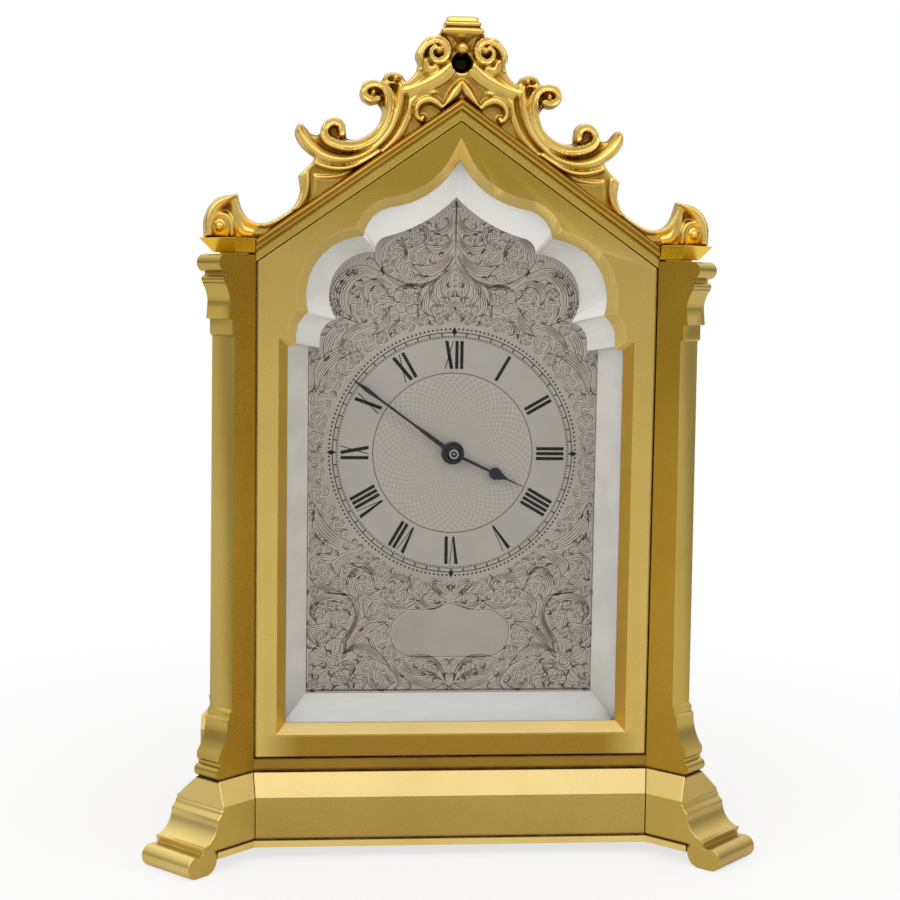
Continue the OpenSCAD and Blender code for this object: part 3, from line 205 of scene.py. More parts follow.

# Front frame: painted shade lines down its sides and along its foot, painted shade on its lower rail and on its gable
GILT_FRONT = gilt(
    "front", (0.62, 0.45, 0.125), (0.575, 0.40, 0.105), SATIN, (("X", 59.9, 0.9), ("Z", 30.4, 0.55)),
    ((("Z", 27.0, 10.7, 0.9), ("X", 0, 58, 0.8), AMBER), (("Z", 216, 34, 0.4), ("X", 0, 70, 0.9), GABLE_SHADE)))
# Lit and shaded copies of the gilt: the opening's head and sill chamfers and the feet's upward facets painted lighter
# as lit from above, the jambs painted darker as shaded
GILT_HEAD = gilt("chamfer_head", (0.80, 0.60, 0.20), (0.72, 0.52, 0.155), CHAMFERED, metallic=0.62)
GILT_SILL = gilt("chamfer_foot", (0.80, 0.61, 0.255), (0.72, 0.53, 0.20), CHAMFERED, metallic=0.55)
GILT_JAMB = gilt("chamfer_side", (0.60, 0.375, 0.066), (0.54, 0.325, 0.05), (0.28, 0.34), metallic=0.7)
# Painted shade: a darker copy of the gilt for the pillars' inward faces, with a painted shade line at their foot
GILT_AMBER = gilt("amber", (0.45, 0.262, 0.03), (0.40, 0.225, 0.022), SATIN, (("Z", 26.1, 0.9),))
GILT_ABACUS = gilt("abacus", (0.81, 0.53, 0.037), (0.73, 0.455, 0.028), SATIN)
GILT_MOULDING = gilt("mouldings", (0.60, 0.42, 0.09), (0.52, 0.345, 0.065), SATIN)
# Painted shade: the roll of the raking cornice painted dark brown
GILT_CORNICE = gilt("cornice", (0.29, 0.155, 0.022), (0.23, 0.115, 0.015), POLISHED)
GILT_BUTTRESS = gilt("buttress", (0.50, 0.36, 0.085), (0.45, 0.315, 0.066), SATIN)
# Feet: the left feet take a painted lit copy and the right feet a painted shaded copy, with painted shade lines at
# their tops; their side faces take a darker copy with painted shade along their bottoms
GILT_FOOT = gilt("foot", (0.72, 0.56, 0.195), (0.65, 0.49, 0.155), SOFT, (("Z", 25.9, 0.6),))
GILT_FOOT_SHADED = gilt("foot_shaded", (0.52, 0.375, 0.105), (0.47, 0.33, 0.085), SOFT, (("Z", 25.9, 0.6),))
GILT_FOOT_SIDE = gilt("foot_side", (0.56, 0.40, 0.10), (0.50, 0.345, 0.08), SOFT, (),
                      ((("Z", 6.3, 0.85), ("X", 62, 9, 0.92), JOINT_SHADE),))
# Plinth: painted shade lines at its bottom and top joints; its upward slope takes a paler copy, painted sheen
GILT_PLINTH = gilt("plinth", (0.48, 0.335, 0.085), (0.43, 0.29, 0.066), SATIN,
                   (("Z", 6.2, 0.95), ("Z", 26.2, 0.5)))
GILT_SLOPE_LIT = gilt("slope_lit", (0.43, 0.325, 0.137), (0.395, 0.29, 0.115), SATIN, (("Z", 26.2, 0.5),))
# Painted shade: the deck plate and the strip behind the rear gable's seam painted dark amber like the lower rail, with
# painted shade lines at the deck's joints
GILT_DECK = gilt("floor_edge", (0.34, 0.195, 0.03), (0.27, 0.145, 0.02), (0.28, 0.34),
                 (("Z", 26.2, 1.15), ("Z", 30.3, 0.6)))
# Painted highlight: the base plate's bead painted bright, with a painted shade line along its top
GILT_BEAD = gilt("bead", (0.86, 0.65, 0.23), (0.76, 0.55, 0.175), POLISHED, (("Z", 6.1, 0.5),))
GILT_PLAIN = gilt("plain", (0.66, 0.46, 0.14), (0.50, 0.33, 0.085), (0.36, 0.5))
BRASS = plain_metal("movement_brass", (0.77, 0.585, 0.245), (0.725, 0.54, 0.215), (0.24, 0.31), 900, (1, 0.2, 0.06),
                    bumps=0.03)
STEEL = plain_metal("polished_steel", (0.62, 0.62, 0.63), (0.50, 0.50, 0.52), (0.2, 0.35), 600, (1, 0.1, 1))
BLUED = plain_metal("blued_steel", (0.020, 0.022, 0.035), (0.010, 0.010, 0.016), (0.28, 0.4), 400, metallic=0.7)
# Silvered slip: its flat sides; its lobes and its head, painted lighter as lit; and its bottom, painted darker as
# shaded
SILVER = plain_metal("grained_silver", (0.70, 0.69, 0.655), (0.62, 0.61, 0.575), GRAINED, 90, metallic=0.6, bumps=0.03)
SILVER_MID = plain_metal("grained_silver_lobes", (0.775, 0.765, 0.73), (0.70, 0.69, 0.655), GRAINED, 90,
                         metallic=0.45, bumps=0.03)
SILVER_TOP = plain_metal("grained_silver_head", (0.97, 0.96, 0.93), (0.92, 0.91, 0.88), GRAINED, 90,
                         metallic=0.1, bumps=0.03)
SILVER_LOW = plain_metal("grained_silver_foot", (0.40, 0.40, 0.386), (0.35, 0.35, 0.338), (0.36, 0.48), 220,
                         (0.3, 1, 1), 0.6, 0.03)


def glass_material():
    m, nt, b = new_material("clear_glass", 0.0, 0.02)
    b.inputs["Base Color"].default_value = (0.35, 0.38, 0.37, 1.0)
    b.inputs["IOR"].default_value = 1.5
    nt.links.new(spread(nt, noise(nt, 30, 2.0), 0.008, 0.02), b.inputs["Alpha"])
    return m


GLASS = glass_material()


# Building helpers
def put(name, data):
    ob = bpy.data.objects.new(name, data)
    scene.collection.objects.link(ob)
    return ob


def piece(name, me, mats, body="case"):
    """An object of a mesh that rides on a body and takes the given finishes."""
    me.materials.clear()
    for m in mats if isinstance(mats, list) else [mats]:
        me.materials.append(m)
    ob = put(name, me)
    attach(ob, body)
    return ob


def mesh_of(name, verts, faces):
    me = bpy.data.meshes.new(name)
    me.from_pydata([tuple(c * MM for c in v) for v in verts], [], faces)
    return me


def smooth(me, angle):
    """Smooth shading, with edges sharper than an angle in degrees left sharp."""
    for p in me.polygons:
        p.use_smooth = True
    me.set_sharp_from_angle(angle=radians(angle))


def dressed(name, mats, slot, body="case", bevel=0.2, segments=2, angle=24, pick=None):
    """A copy of a CAD node with its flat faces joined and its edges eased, standing for that node."""
    me = nodes[name].data.copy()
    me.name = name + "_eased"
    bm = bmesh.new()
    bm.from_mesh(me)
    bmesh.ops.remove_doubles(bm, verts=bm.verts, dist=WELD)
    bmesh.ops.dissolve_limit(bm, angle_limit=radians(0.6), verts=bm.verts, edges=bm.edges)
    bm.to_mesh(me)
    bm.free()
    ob = piece(me.name, me, mats, body)
    if pick:
        for p in me.polygons:
            p.material_index = pick(p.center / MM, p.normal)
    mod = ob.modifiers.new("ease", "BEVEL")
    mod.width = bevel * MM
    mod.segments = segments
    mod.limit_method = "ANGLE"
    mod.angle_limit = radians(angle)
    mod.harden_normals = True
    mod.use_clamp_overlap = True
    smooth(me, angle)
    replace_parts(ob, name)


SLOT_MATERIAL = {
    "gilt": GILT_FRONT, "gilt_relief": GILT_MOULDING, "gilt_body": GILT_PLAIN, "movement_brass": BRASS,
    "silvered_slip": SILVER, "silvered_dial": SILVER, "glass": GLASS, "blued_steel": BLUED, "steel": STEEL,
}
slot_of = {s["node"]: s["material_slot"] for s in frame["record"]["subparts"]}


def refinish(name, material):
    nodes[name].data.materials.clear()
    nodes[name].data.materials.append(material)


for name in nodes:
    refinish(name, SLOT_MATERIAL[slot_of[name]])


# Which of a piece's materials a face gets, from its middle in mm and its normal
# Front frame: flat faces keep the gilt; the opening's chamfers take painted lit copies at the head and sill and a
# painted shaded copy at the jambs
def frame_face(c, n):
    if abs(n.y) > 0.93 or n.y > -0.2 or abs(c.x) > 58:
        return 0
    if abs(n.x) > 0.5 and c.z < 150:
        return 3
    return 2 if n.z > 0.3 and c.z < 60 else 1


# Pillars: faces turned inwards take a painted shaded copy
def inward(c, n):
    return 1 if n.x * c.x < 0 and abs(n.z) < 0.5 else 0


# Feet: the side faces take a painted shaded copy, the upward side faces above 18 mm a painted lit copy
def foot_face(c, n):
    side = abs(n.x * n.y) > 0.1 and n.x * c.x * n.y * c.y < 0
    return 2 if n.z > 0.3 and side and c.z > 18 else 1 if side else 0


# Plinth: the upward slope takes a paler copy, painted sheen
def plinth_face(c, n):
    return 1 if n.z > 0.3 and c.z < 25.5 else 0


# Raking cornice: the roll takes a darker copy, painted shade
def cornice_face(c, n):
    return 1 if CREST_ROLL - RAKE_TAN * abs(c.x) - c.z > 2.6 else 0


# Slip: the bottom's upward faces take a darker copy, painted shade; the lobes and head take lighter copies, painted
# light
def slip_face(c, n):
    if c.z < 70:
        return 1 if n.z > 0.3 else 0
    return 0 if c.z < 152 or abs(n.y) > 0.97 else 2 if c.z < 186 else 3


FOOT_EDGES = {"bevel": 0.3, "angle": 15, "pick": foot_face}
# Start of a node's name, the finishes of its faces, and how its edges are eased
DRESSING = (
    ("front_frame", [GILT_FRONT, GILT_HEAD, GILT_SILL, GILT_JAMB], {"bevel": 0.25, "pick": frame_face}),
    ("pillar", [GILT_BUTTRESS, GILT_AMBER], {"bevel": 0.3, "pick": inward}),
    (("foot_front_right", "foot_rear_right"), [GILT_FOOT_SHADED, GILT_FOOT_SIDE, GILT_HEAD], FOOT_EDGES),
    ("foot", [GILT_FOOT, GILT_FOOT_SIDE, GILT_HEAD], FOOT_EDGES),
    ("plinth", [GILT_PLINTH, GILT_SLOPE_LIT], {"angle": 15, "pick": plinth_face}),
    ("deck_plate", GILT_DECK, {"bevel": 0.3}),
    ("base_plate", GILT_BEAD, {"bevel": 1.05, "segments": 4}),
    ("abacus", GILT_ABACUS, {}),
    ("raking", [GILT_CORNICE, GILT_MOULDING], {"pick": cornice_face}),
    ("eave", GILT_MOULDING, {}),
    ("rear_door", GILT_FRONT, {"body": "door"}),
    ("dial_slip", [SILVER, SILVER_LOW, SILVER_MID, SILVER_TOP], {"bevel": 0.15, "pick": slip_face}),
)
UNDRESSED = ("roof", "door_knob")
for name in list(nodes):
    slot = slot_of[name]
    for start, mats, edges in DRESSING:
        if name.startswith(start):
            dressed(name, mats, slot, **edges)
            break
    else:
        if slot in ("gilt", "gilt_body") and not name.startswith(UNDRESSED):
            dressed(name, GILT_FRONT, slot)


def gable_strip():
    """Dark strip inside the case behind the seam under the rear raking cornice, standing in for the shade there."""
    line = [(x, GABLE_APEX - RAKE_TAN * abs(x)) for x in (-59, -57, 0, 57, 59)]
    profile = [(0.05, -1.6), (0.05, 1.4), (0.5, 1.1), (0.5, -1.2)]
    verts = [(x, REAR_INSIDE - into, z + up) for x, z in line for into, up in profile]
    sides = ((4 * i + k, 4 * i + (k + 1) % 4) for i in range(4) for k in range(4))
    faces = [(a, b, b + 4, a + 4) for a, b in sides] + [(3, 2, 1, 0), (16, 17, 18, 19)]
    piece("gable_strip", mesh_of("gable_strip", verts, faces), GILT_DECK)


gable_strip()


# Curves
def resample(points, n):
    """n points at even steps along a smooth curve through the given ones."""
    p = [Vector(q) for q in points]
    p = [2 * p[0] - p[1]] + p + [2 * p[-1] - p[-2]]
    fine = []
    for i in range(1, len(p) - 2):
        a, b, c, d = p[i - 1:i + 3]
        for k in range(12):
            t = k / 12
            square = (2 * a - 5 * b + 4 * c - d) * t * t
            fine.append(0.5 * (2 * b + (c - a) * t + square + (3 * b - a - 3 * c + d) * t ** 3))
    fine.append(p[-2])
    run = [0.0]
    for a, b in zip(fine, fine[1:]):
        run.append(run[-1] + (b - a).length)
    out, j = [], 0
    for k in range(n):
        s = run[-1] * k / (n - 1)
        while j < len(run) - 2 and run[j + 1] < s:
            j += 1
        f = (s - run[j]) / max(run[j + 1] - run[j], 1e-9)
        out.append(fine[j].lerp(fine[j + 1], min(max(f, 0), 1)))
    return out


# Cresting: one carved relief, drawn for one side of the finial and mirrored
# Depths behind the frame's face of the ground, the highest crest and the back, then the step of the relief's grid
CREST_GROUND, CREST_FRONT, CREST_BACK, CREST_STEP = 3.0, -1.0, 5.9, 0.3
CREST_FOOT = 185.75
PIT_Z, PIT_R, BALL_Z, BALL_R = 238.2, 2.9, 242.3, 2.3
# Hollowness given to the arris and the wall, a painted mid shade, then the arris's depth
WALL_HOLLOW, ARRIS = 0.3, 0.25
# Upper edge from the finial's neck outwards, a smooth run from each corner to the next one, x and z
CREST_EDGE = [
    [(6.7, 246.7), (7.5, 245.8), (10.4, 245.2), (12.3, 243.2), (13.5, 241.2), (13.7, 239.3), (13, 237.9),
     (13.2, 236.4), (13.7, 235), (15.1, 233.3), (16.6, 232.3)],
    [(17, 233.5), (18.1, 234.6), (20.3, 235), (22.4, 234.4), (23.4, 232.8)],
    [(23.9, 232.3), (26.3, 232.6), (28.8, 231.7), (29.9, 229.3), (29.7, 227.4), (28.4, 226), (26.7, 225.4),
     (24.8, 225.8)],
    [(23.8, 224.6), (23.3, 223.2), (23.8, 221.3), (24.7, 219.3), (26.6, 217.3), (29.1, 215.8), (31.5, 215.1),
     (33.7, 215.5)],
    [(33.9, 217.7), (34.2, 219.6), (35.4, 221.1), (37.2, 221.4), (39.3, 220.9), (41, 218.9), (41.6, 216.8),
     (42.5, 216.2)],
    [(44.2, 216.7), (45.6, 218.3), (46.6, 219.3), (47.6, 219.5), (48.5, 218.5), (48.9, 216.8), (48.4, 214.9),
     (47, 212.8), (45.1, 211.1), (43.2, 209.8)],
    [(43.2, 209.2)],
    [(44.6, 207.5), (46.5, 205.6), (47.8, 204.3)],
    [(47.6, 202.4), (47.3, 200), (48.1, 197.1), (49.8, 194.6), (52.2, 192.9), (54.7, 191.4), (57.6, 190.4),
     (60.5, 190.6), (62.7, 192), (64.4, 194.8), (65.6, 198.8)],
    [(67, 198.5), (70.7, 197.7), (73.3, 195.6), (74.7, 193.2), (75.5, 190.3), (75.4, 186.6)],
]
# Carved strokes: section, height, then x, z and half width
CREST_STROKES = [
    ("round", 1, (65.9, 198.3, 0.51), (68, 197.3, 1.44), (70.2, 196.1, 2.15), (72.1, 194.3, 2.36),
     (73.3, 191.9, 2.26), (73.7, 189.3, 1.95), (73.7, 186.7, 1.85)),
    ("round", 0.6, (66.5, 196.2, 1.54), (66, 193.4, 2.05), (65.2, 190.5, 2.26), (63.8, 188.2, 2.15),
     (61.4, 187.4, 1.85)),
    ("round", 0.82, (67, 186.8, 1.03), (67.2, 189.7, 1.08), (68.3, 192, 0.97), (70.3, 192.7, 0.82),
     (71.9, 191.6, 0.62), (72.5, 189.8, 0.46)),
    ("rim", 0.88, (65.2, 197.2, 2.36), (64.2, 194.4, 2.67), (62.5, 191.7, 2.67), (60.4, 190.3, 2.67),
     (57.6, 190, 2.67), (54.7, 191, 2.67), (52, 192.6, 2.67), (49.3, 194.6, 2.67), (47.8, 197, 2.67),
     (47, 199.8, 2.67), (47.2, 202.4, 2.56), (47.5, 204.2, 2.05)),
    ("round", 0.5, (61.9, 188.2, 1.85), (58.5, 187.6, 2.05), (54.6, 188.6, 2.26), (50.8, 191.1, 2.46),
     (47.4, 193.7, 2.26), (45.7, 196.6, 1.85)),
    ("rim", 0.85, (47, 204.4, 2.26), (45, 206.6, 2.26), (43, 208.8, 2.26)),
    ("round", 0.72, (45.6, 204.6, 1.85), (45.6, 201.5, 1.95), (46.2, 198.1, 1.85), (47.9, 194.9, 1.54)),
    ("round", 0.8, (43.3, 208.5, 1.03), (41.2, 207.4, 1.13), (37.8, 206.6, 1.13), (34.3, 206.6, 1.13),
     (30.9, 207.6, 1.03), (27, 209.7, 0.87), (24.1, 211.6, 0.72)),
    ("round", 0.45, (43, 204.7, 0.46), (43, 202, 0.46), (43.2, 199.6, 0.41)),
    ("round", 0.5, (42.7, 204, 0.62), (39.2, 204, 0.62), (35.3, 204.6, 0.56), (32.1, 205.9, 0.46)),
    ("leaf", 0.88, (47.3, 218.8, 0.92), (47.5, 217.1, 1.64), (46.3, 214.7, 2.26), (44.1, 212.4, 2.56),
     (40.7, 210.2, 2.36), (36.8, 209.2, 1.95), (32.9, 209.3, 1.64), (29, 210.5, 1.64), (25.6, 212.8, 1.64),
     (22.5, 215.8, 1.74), (20.3, 219.2, 1.85), (18.9, 223.3, 1.85), (18.2, 227.2, 1.74), (18, 230.1, 1.54),
     (18.3, 231.5, 1.03)),
    ("round", 0.52, (15, 228.7, 0.92), (15.4, 224.8, 1.33), (16.2, 221, 1.64), (17.9, 217.3, 1.64),
     (20.5, 214.1, 1.33), (23.6, 211.4, 0.92)),
    ("flute", 1, (24.6, 227.1, 0.92), (26.5, 226.6, 1.28), (28.5, 227.8, 1.38), (28.8, 229.6, 1.38),
     (27.3, 231.1, 1.33), (24.8, 231.3, 1.33), (22.6, 230.2, 1.49), (21.4, 227.8, 1.69), (21.4, 224.7, 1.79),
     (22.2, 221.3, 1.74), (23.8, 218.1, 1.69), (26.1, 215.5, 1.64), (29.3, 213.8, 1.64), (32.7, 213.1, 1.64),
     (36.1, 213.5, 1.64), (39, 214.7, 1.59), (40.3, 216.8, 1.44), (39.6, 219, 1.38), (37.4, 220.1, 1.33),
     (35.4, 219.1, 1.28), (35, 216.8, 1.13)),
    ("round", 0.8, (15.6, 232.1, 1.13), (17.4, 233.2, 0.87), (19.3, 234.2, 0.77), (21.4, 234, 0.82),
     (22.4, 232.9, 0.77), (21.5, 231.8, 0.77), (19.8, 231.7, 0.62)),
    ("rim", 0.85, (16.3, 231.9, 3.08), (14.5, 233.3, 3.28), (13.2, 235.2, 3.28), (12.6, 237.4, 3.08)),
    ("round", 0.74, (17.5, 229.4, 1.44), (13.6, 230.5, 1.95), (9.2, 232.5, 2.36), (5.8, 234.7, 2.36),
     (3.4, 237.2, 1.85)),
    ("round", 0.6, (15.5, 228.4, 0.82), (11.6, 229.5, 1.03), (7.7, 231.2, 1.13), (4.3, 233.4, 1.03),
     (1.9, 236.3, 0.72)),
    ("flute", 1, (12.6, 236.2, 1.03), (12.7, 239.1, 1.33), (12.1, 242, 1.59), (10.3, 243.8, 1.54),
     (7.7, 244.6, 1.38), (5.2, 243.6, 1.28), (4.4, 241.2, 1.23), (5.3, 239.1, 1.18), (7.4, 238.4, 1.03),
     (8.9, 239.5, 0.87), (9.2, 241.2, 0.77), (8, 242.6, 0.62)),
    ("round", 0.62, (10.8, 238.4, 1.54), (9.8, 236, 1.74), (7.8, 236.4, 1.54)),
    ("round", 0.8, (5.4, 225.1, 0.41), (3.5, 227.3, 1.44), (1.7, 229.7, 1.85), (0.2, 232.5, 0.72)),
    ("round", 0.8, (5.6, 224.5, 0.51), (7.1, 226.2, 1.38), (9.5, 227.2, 1.69), (12, 226.4, 1.54),
     (13.3, 224.4, 1.28), (13.1, 222.2, 1.13), (11.6, 220.9, 0.82)),
    ("round", 0.6, (15.2, 221.5, 0.72), (15.2, 224.8, 0.92), (13.8, 227.5, 1.03), (10.8, 228.9, 1.03),
     (7.7, 229.4, 0.72)),
]
# Round bosses: height, x, z and radius
CREST_DOMES = [
    (0.66, 70.4, 190.2, 4.4), (0.95, 70.6, 189.2, 1.85), (0.95, 26, 228.9, 1.03), (0.85, 19.6, 233.1, 0.87),
    (1, 6.8, 241.7, 1.38), (0.7, 11.3, 222, 0.92)
]
# Moulded cap on its neck, over the ball and the pit: half width, height and depth of the front
CAP_ROWS = [
    (2.0, 243.9, 1.6), (2.6, 245.2, 1.1), (4.2, 245.9, 0.5), (6.1, 246.5, -0.75), (6.4, 246.9, -0.95),
    (6.3, 247.5, -0.9), (5.5, 248.1, -0.2), (5.2, 248.4, -0.1), (5.1, 248.6, -0.4), (5.5, 248.9, -0.6),
    (5.45, 249.5, -0.55), (4.8, 249.8, 0.0), (4.7, 250.1, 0.1), (4.7, 250.9, 0.15), (4.3, 251.3, 0.5),
    (3.4, 251.45, 1.0)
]
CAP_RING = 20
CAP_SQUARE = 0.22


def crest_edge():
    line, corner = [(-8.0, 246.7)], []
    for run in CREST_EDGE:
        run = corner + run
        line += [tuple(q) for q in resample(run, max(2, 5 * len(run)))]
        corner = run[-1:]
    line += [(75.4, CREST_FOOT), (58.6, CREST_FOOT), (56.4, CREST_ROLL - RAKE_TAN * 56.4)]
    return line + [(0.0, CREST_ROLL), (-8.0, CREST_ROLL)]


def depth_inside(x, z, line):
    """Distance inside a closed outline, negative outside."""
    best = np.full(x.shape, 1e9)
    inside = np.zeros(x.shape, bool)
    for (ax, az), (bx, bz) in zip(line, line[1:] + line[:1]):
        dx, dz = bx - ax, bz - az
        run = dx * dx + dz * dz
        if run < 1e-12:
            continue
        t = np.clip(((x - ax) * dx + (z - az) * dz) / run, 0, 1)
        best = np.minimum(best, (x - ax - t * dx) ** 2 + (z - az - t * dz) ** 2)
        if dz:
            inside ^= ((az > z) != (bz > z)) & (x < (z - az) * dx / dz + ax)
    return np.where(inside, 1, -1) * np.sqrt(best)


def section(kind, s):
    """Height of a stroke at s, from 0 on its middle line to 1 at its edge."""
    if kind == "flute":
        lip = np.sqrt(np.clip(1 - ((s - 0.66) / 0.34) ** 2, 0, 1))
        return np.where(s < 0.66, 0.7 + 0.3 * (s / 0.66) ** 2, lip)
    if kind == "rim":
        return 1 - 0.68 * s ** 0.75
    if kind == "leaf":
        return np.clip(1 - 0.55 * s ** 1.2, 0, 1) * np.clip((1 - s) / 0.16, 0, 1) ** 0.5
    return np.clip(1 - s * s, 0, 1) ** 0.55


def blurred(h, cells):
    weights = [exp(-0.5 * (k / cells) ** 2) for k in range(-2 * cells, 2 * cells + 1)]
    for axis in (0, 1):
        pad = [(0, 0), (0, 0)]
        pad[axis] = (2 * cells, 2 * cells)
        wide = np.pad(h, pad, mode="edge")
        n = h.shape[axis]
        shifted = [wide[k:k + n] if axis == 0 else wide[:, k:k + n] for k in range(len(weights))]
        h = sum(w * q for w, q in zip(weights, shifted)) / sum(weights)
    return h


def crest_field():
    """Grid over one half, distance inside the outline, height, and hollowness for the painted shade."""
    x, z = np.meshgrid(np.arange(0, 77.0, CREST_STEP), np.arange(185.1, 248.2, CREST_STEP), indexing="ij")
    f = depth_inside(x, z, crest_edge())
    h = np.full(x.shape, 0.32)
    stipple = np.sin(x * 7.1 + 1.3 * np.sin(z * 5.3)) * np.sin(z * 6.7 + 1.1 * np.sin(x * 4.9))
    near_middle = np.clip(1 - np.hypot(x - 3.4, z - 231.2) / 4.2, 0, 1)
    h += 0.05 * stipple * np.minimum(1, 3 * near_middle)
    for top, cx, cz, r in CREST_DOMES:
        s = np.hypot(x - cx, z - cz) / r
        h = np.maximum(h, np.where(s < 1, top * np.sqrt(np.clip(1 - s * s, 0, 1)) ** 0.8, 0))
    for kind, top, *points in CREST_STROKES:
        s = np.full(x.shape, 9.0)
        for cx, cz, r in resample(points, 14 * len(points)):
            s = np.minimum(s, np.hypot(x - cx, z - cz) / max(r, 0.1))
        h = np.maximum(h, np.where(s < 1, top * section(kind, np.minimum(s, 1)), 0))
    pit = np.hypot(x, z - PIT_Z) / PIT_R
    h = np.where(pit < 1, np.minimum(h, -0.62 + 0.9 * pit ** 6), h)
    ball = np.hypot(x, z - BALL_Z) / BALL_R
    h = np.where(ball < 1, np.maximum(h, 1.02 * np.sqrt(np.clip(1 - ball * ball, 0, 1))), h)
    # The relief falls to the ground at the upper edge, but not along the cornice
    upper = f + np.where(z < CREST_ROLL - RAKE_TAN * x + 1.2, 9, 0)
    h = h * np.clip(np.clip(upper, 0, 1) / 0.55, 0.02, 1) ** 0.5
    h = 0.25 * h + 0.75 * blurred(h, 1)
    # Hollowness for the painted shade: high where the relief lies below its blurred self and where it is low, highest
    # in the pit, which is painted near black
    hollow = np.clip(0.28 + 1.7 * (blurred(h, 4) - h) + 0.6 * (0.42 - h), 0, 1)
    return x, z, f, h, np.maximum(hollow, np.clip(1.3 - pit, 0, 1) * (h < 0.1) * 1.6)


def gold_relief():
    """Burnished cast gilding: bright on the crests, darkening to brown painted shade where the hollow attribute is
    high and near black in the pit.
    """
    m, nt, b = new_material("gilt_cast", 1.0)
    hollow = node(nt, "Attribute", attribute_name="hollow").outputs["Fac"]
    cloud = noise(nt, 420, 5.0)
    col = ramp(nt, calc(nt, "MULTIPLY_ADD", cloud, 0.3, hollow), [
        (0.22, (0.66, 0.46, 0.125)), (0.47, (0.52, 0.335, 0.07)), (0.72, (0.30, 0.16, 0.026)),
        (0.93, (0.10, 0.047, 0.011)), (1.0, (0.016, 0.008, 0.003))])
    paint(nt, b, col, spread(nt, cloud, 0.22, 0.38, 0.3, 0.7))
    bump(nt, b, noise(nt, 900, 4.0), 0.04, 0.04)
    return m


def crest_cap(verts, value, faces):
    """The finial's cap: rounded rectangular rings, with painted shade in its necks."""
    start, n = len(verts), CAP_RING
    for half, z, front in CAP_ROWS:
        neck = z < 245.6 or 248.0 < z < 248.5 or 249.7 < z < 250.0
        for k in range(n):
            t = 2 * pi * (k + 0.5) / n
            c, s = (copysign(abs(q) ** CAP_SQUARE, q) for q in (cos(t), sin(t)))
            verts.append((half * c, FRONT + (front + CREST_BACK) / 2 + (CREST_BACK - front) / 2 * s, z))
            value.append(0.7 if neck else 0.15)
    for i in range(len(CAP_ROWS) - 1):
        a, b = start + i * n, start + (i + 1) * n
        faces += [[a + k, a + (k + 1) % n, b + (k + 1) % n, b + k] for k in range(n)]
    faces.append([start + k for k in range(n - 1, -1, -1)])
    faces.append([start + (len(CAP_ROWS) - 1) * n + k for k in range(n)])


def cresting():
    x, z, f, h, hollow = crest_field()
    gx, gz = np.gradient(f, CREST_STEP)
    norm = np.maximum(gx * gx + gz * gz, 0.2)
    out = f < 0
    px = np.where(out, x - f * gx / norm, x)
    pz = np.where(out, z - f * gz / norm, z)
    px[0, :] = 0.0
    py = FRONT + CREST_GROUND - np.where(out, 0.0, h) * (CREST_GROUND - CREST_FRONT)
    keep = ~out
    cell = keep[:-1, :-1] | keep[1:, :-1] | keep[:-1, 1:] | keep[1:, 1:]
    verts, value, faces, index = [], [], [], {}

    def point(i, j, side):
        key = (i, j, side if i else 1)
        if key not in index:
            index[key] = len(verts)
            verts.append((side * px[i, j], py[i, j], pz[i, j]))
            value.append(float(hollow[i, j]))
        return index[key]

    for i, j in np.argwhere(cell):
        quad = ((i, j), (i + 1, j), (i + 1, j + 1), (i, j + 1))
        faces.append([point(a, c, 1) for a, c in quad])
        faces.append([point(a, c, -1) for a, c in reversed(quad)])
    crest_cap(verts, value, faces)
    me = mesh_of("cresting_scrolls", verts, faces)
    me.attributes.new("hollow", "FLOAT", "POINT").data.foreach_set("value", value)
    bm = bmesh.new()
    bm.from_mesh(me)
    bmesh.ops.remove_doubles(bm, verts=bm.verts, dist=WELD)
    # A narrow dark arris, then the clean wall to the back, both at the walls' painted mid shade
    for wall in (False, True):
        rim = [e for e in bm.edges if e.is_boundary]
        for q in bmesh.ops.extrude_edge_only(bm, edges=rim)["geom"]:
            if isinstance(q, bmesh.types.BMVert):
                q.co.y = (FRONT + CREST_BACK) * MM if wall else q.co.y + ARRIS * MM
                q[bm.verts.layers.float["hollow"]] = WALL_HOLLOW
    bmesh.ops.holes_fill(bm, edges=[e for e in bm.edges if e.is_boundary], sides=0)
    bmesh.ops.recalc_face_normals(bm, faces=bm.faces)
    bm.to_mesh(me)
    bm.free()
    smooth(me, 58)
    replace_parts(piece(me.name, me, gold_relief()), "cresting")


cresting()


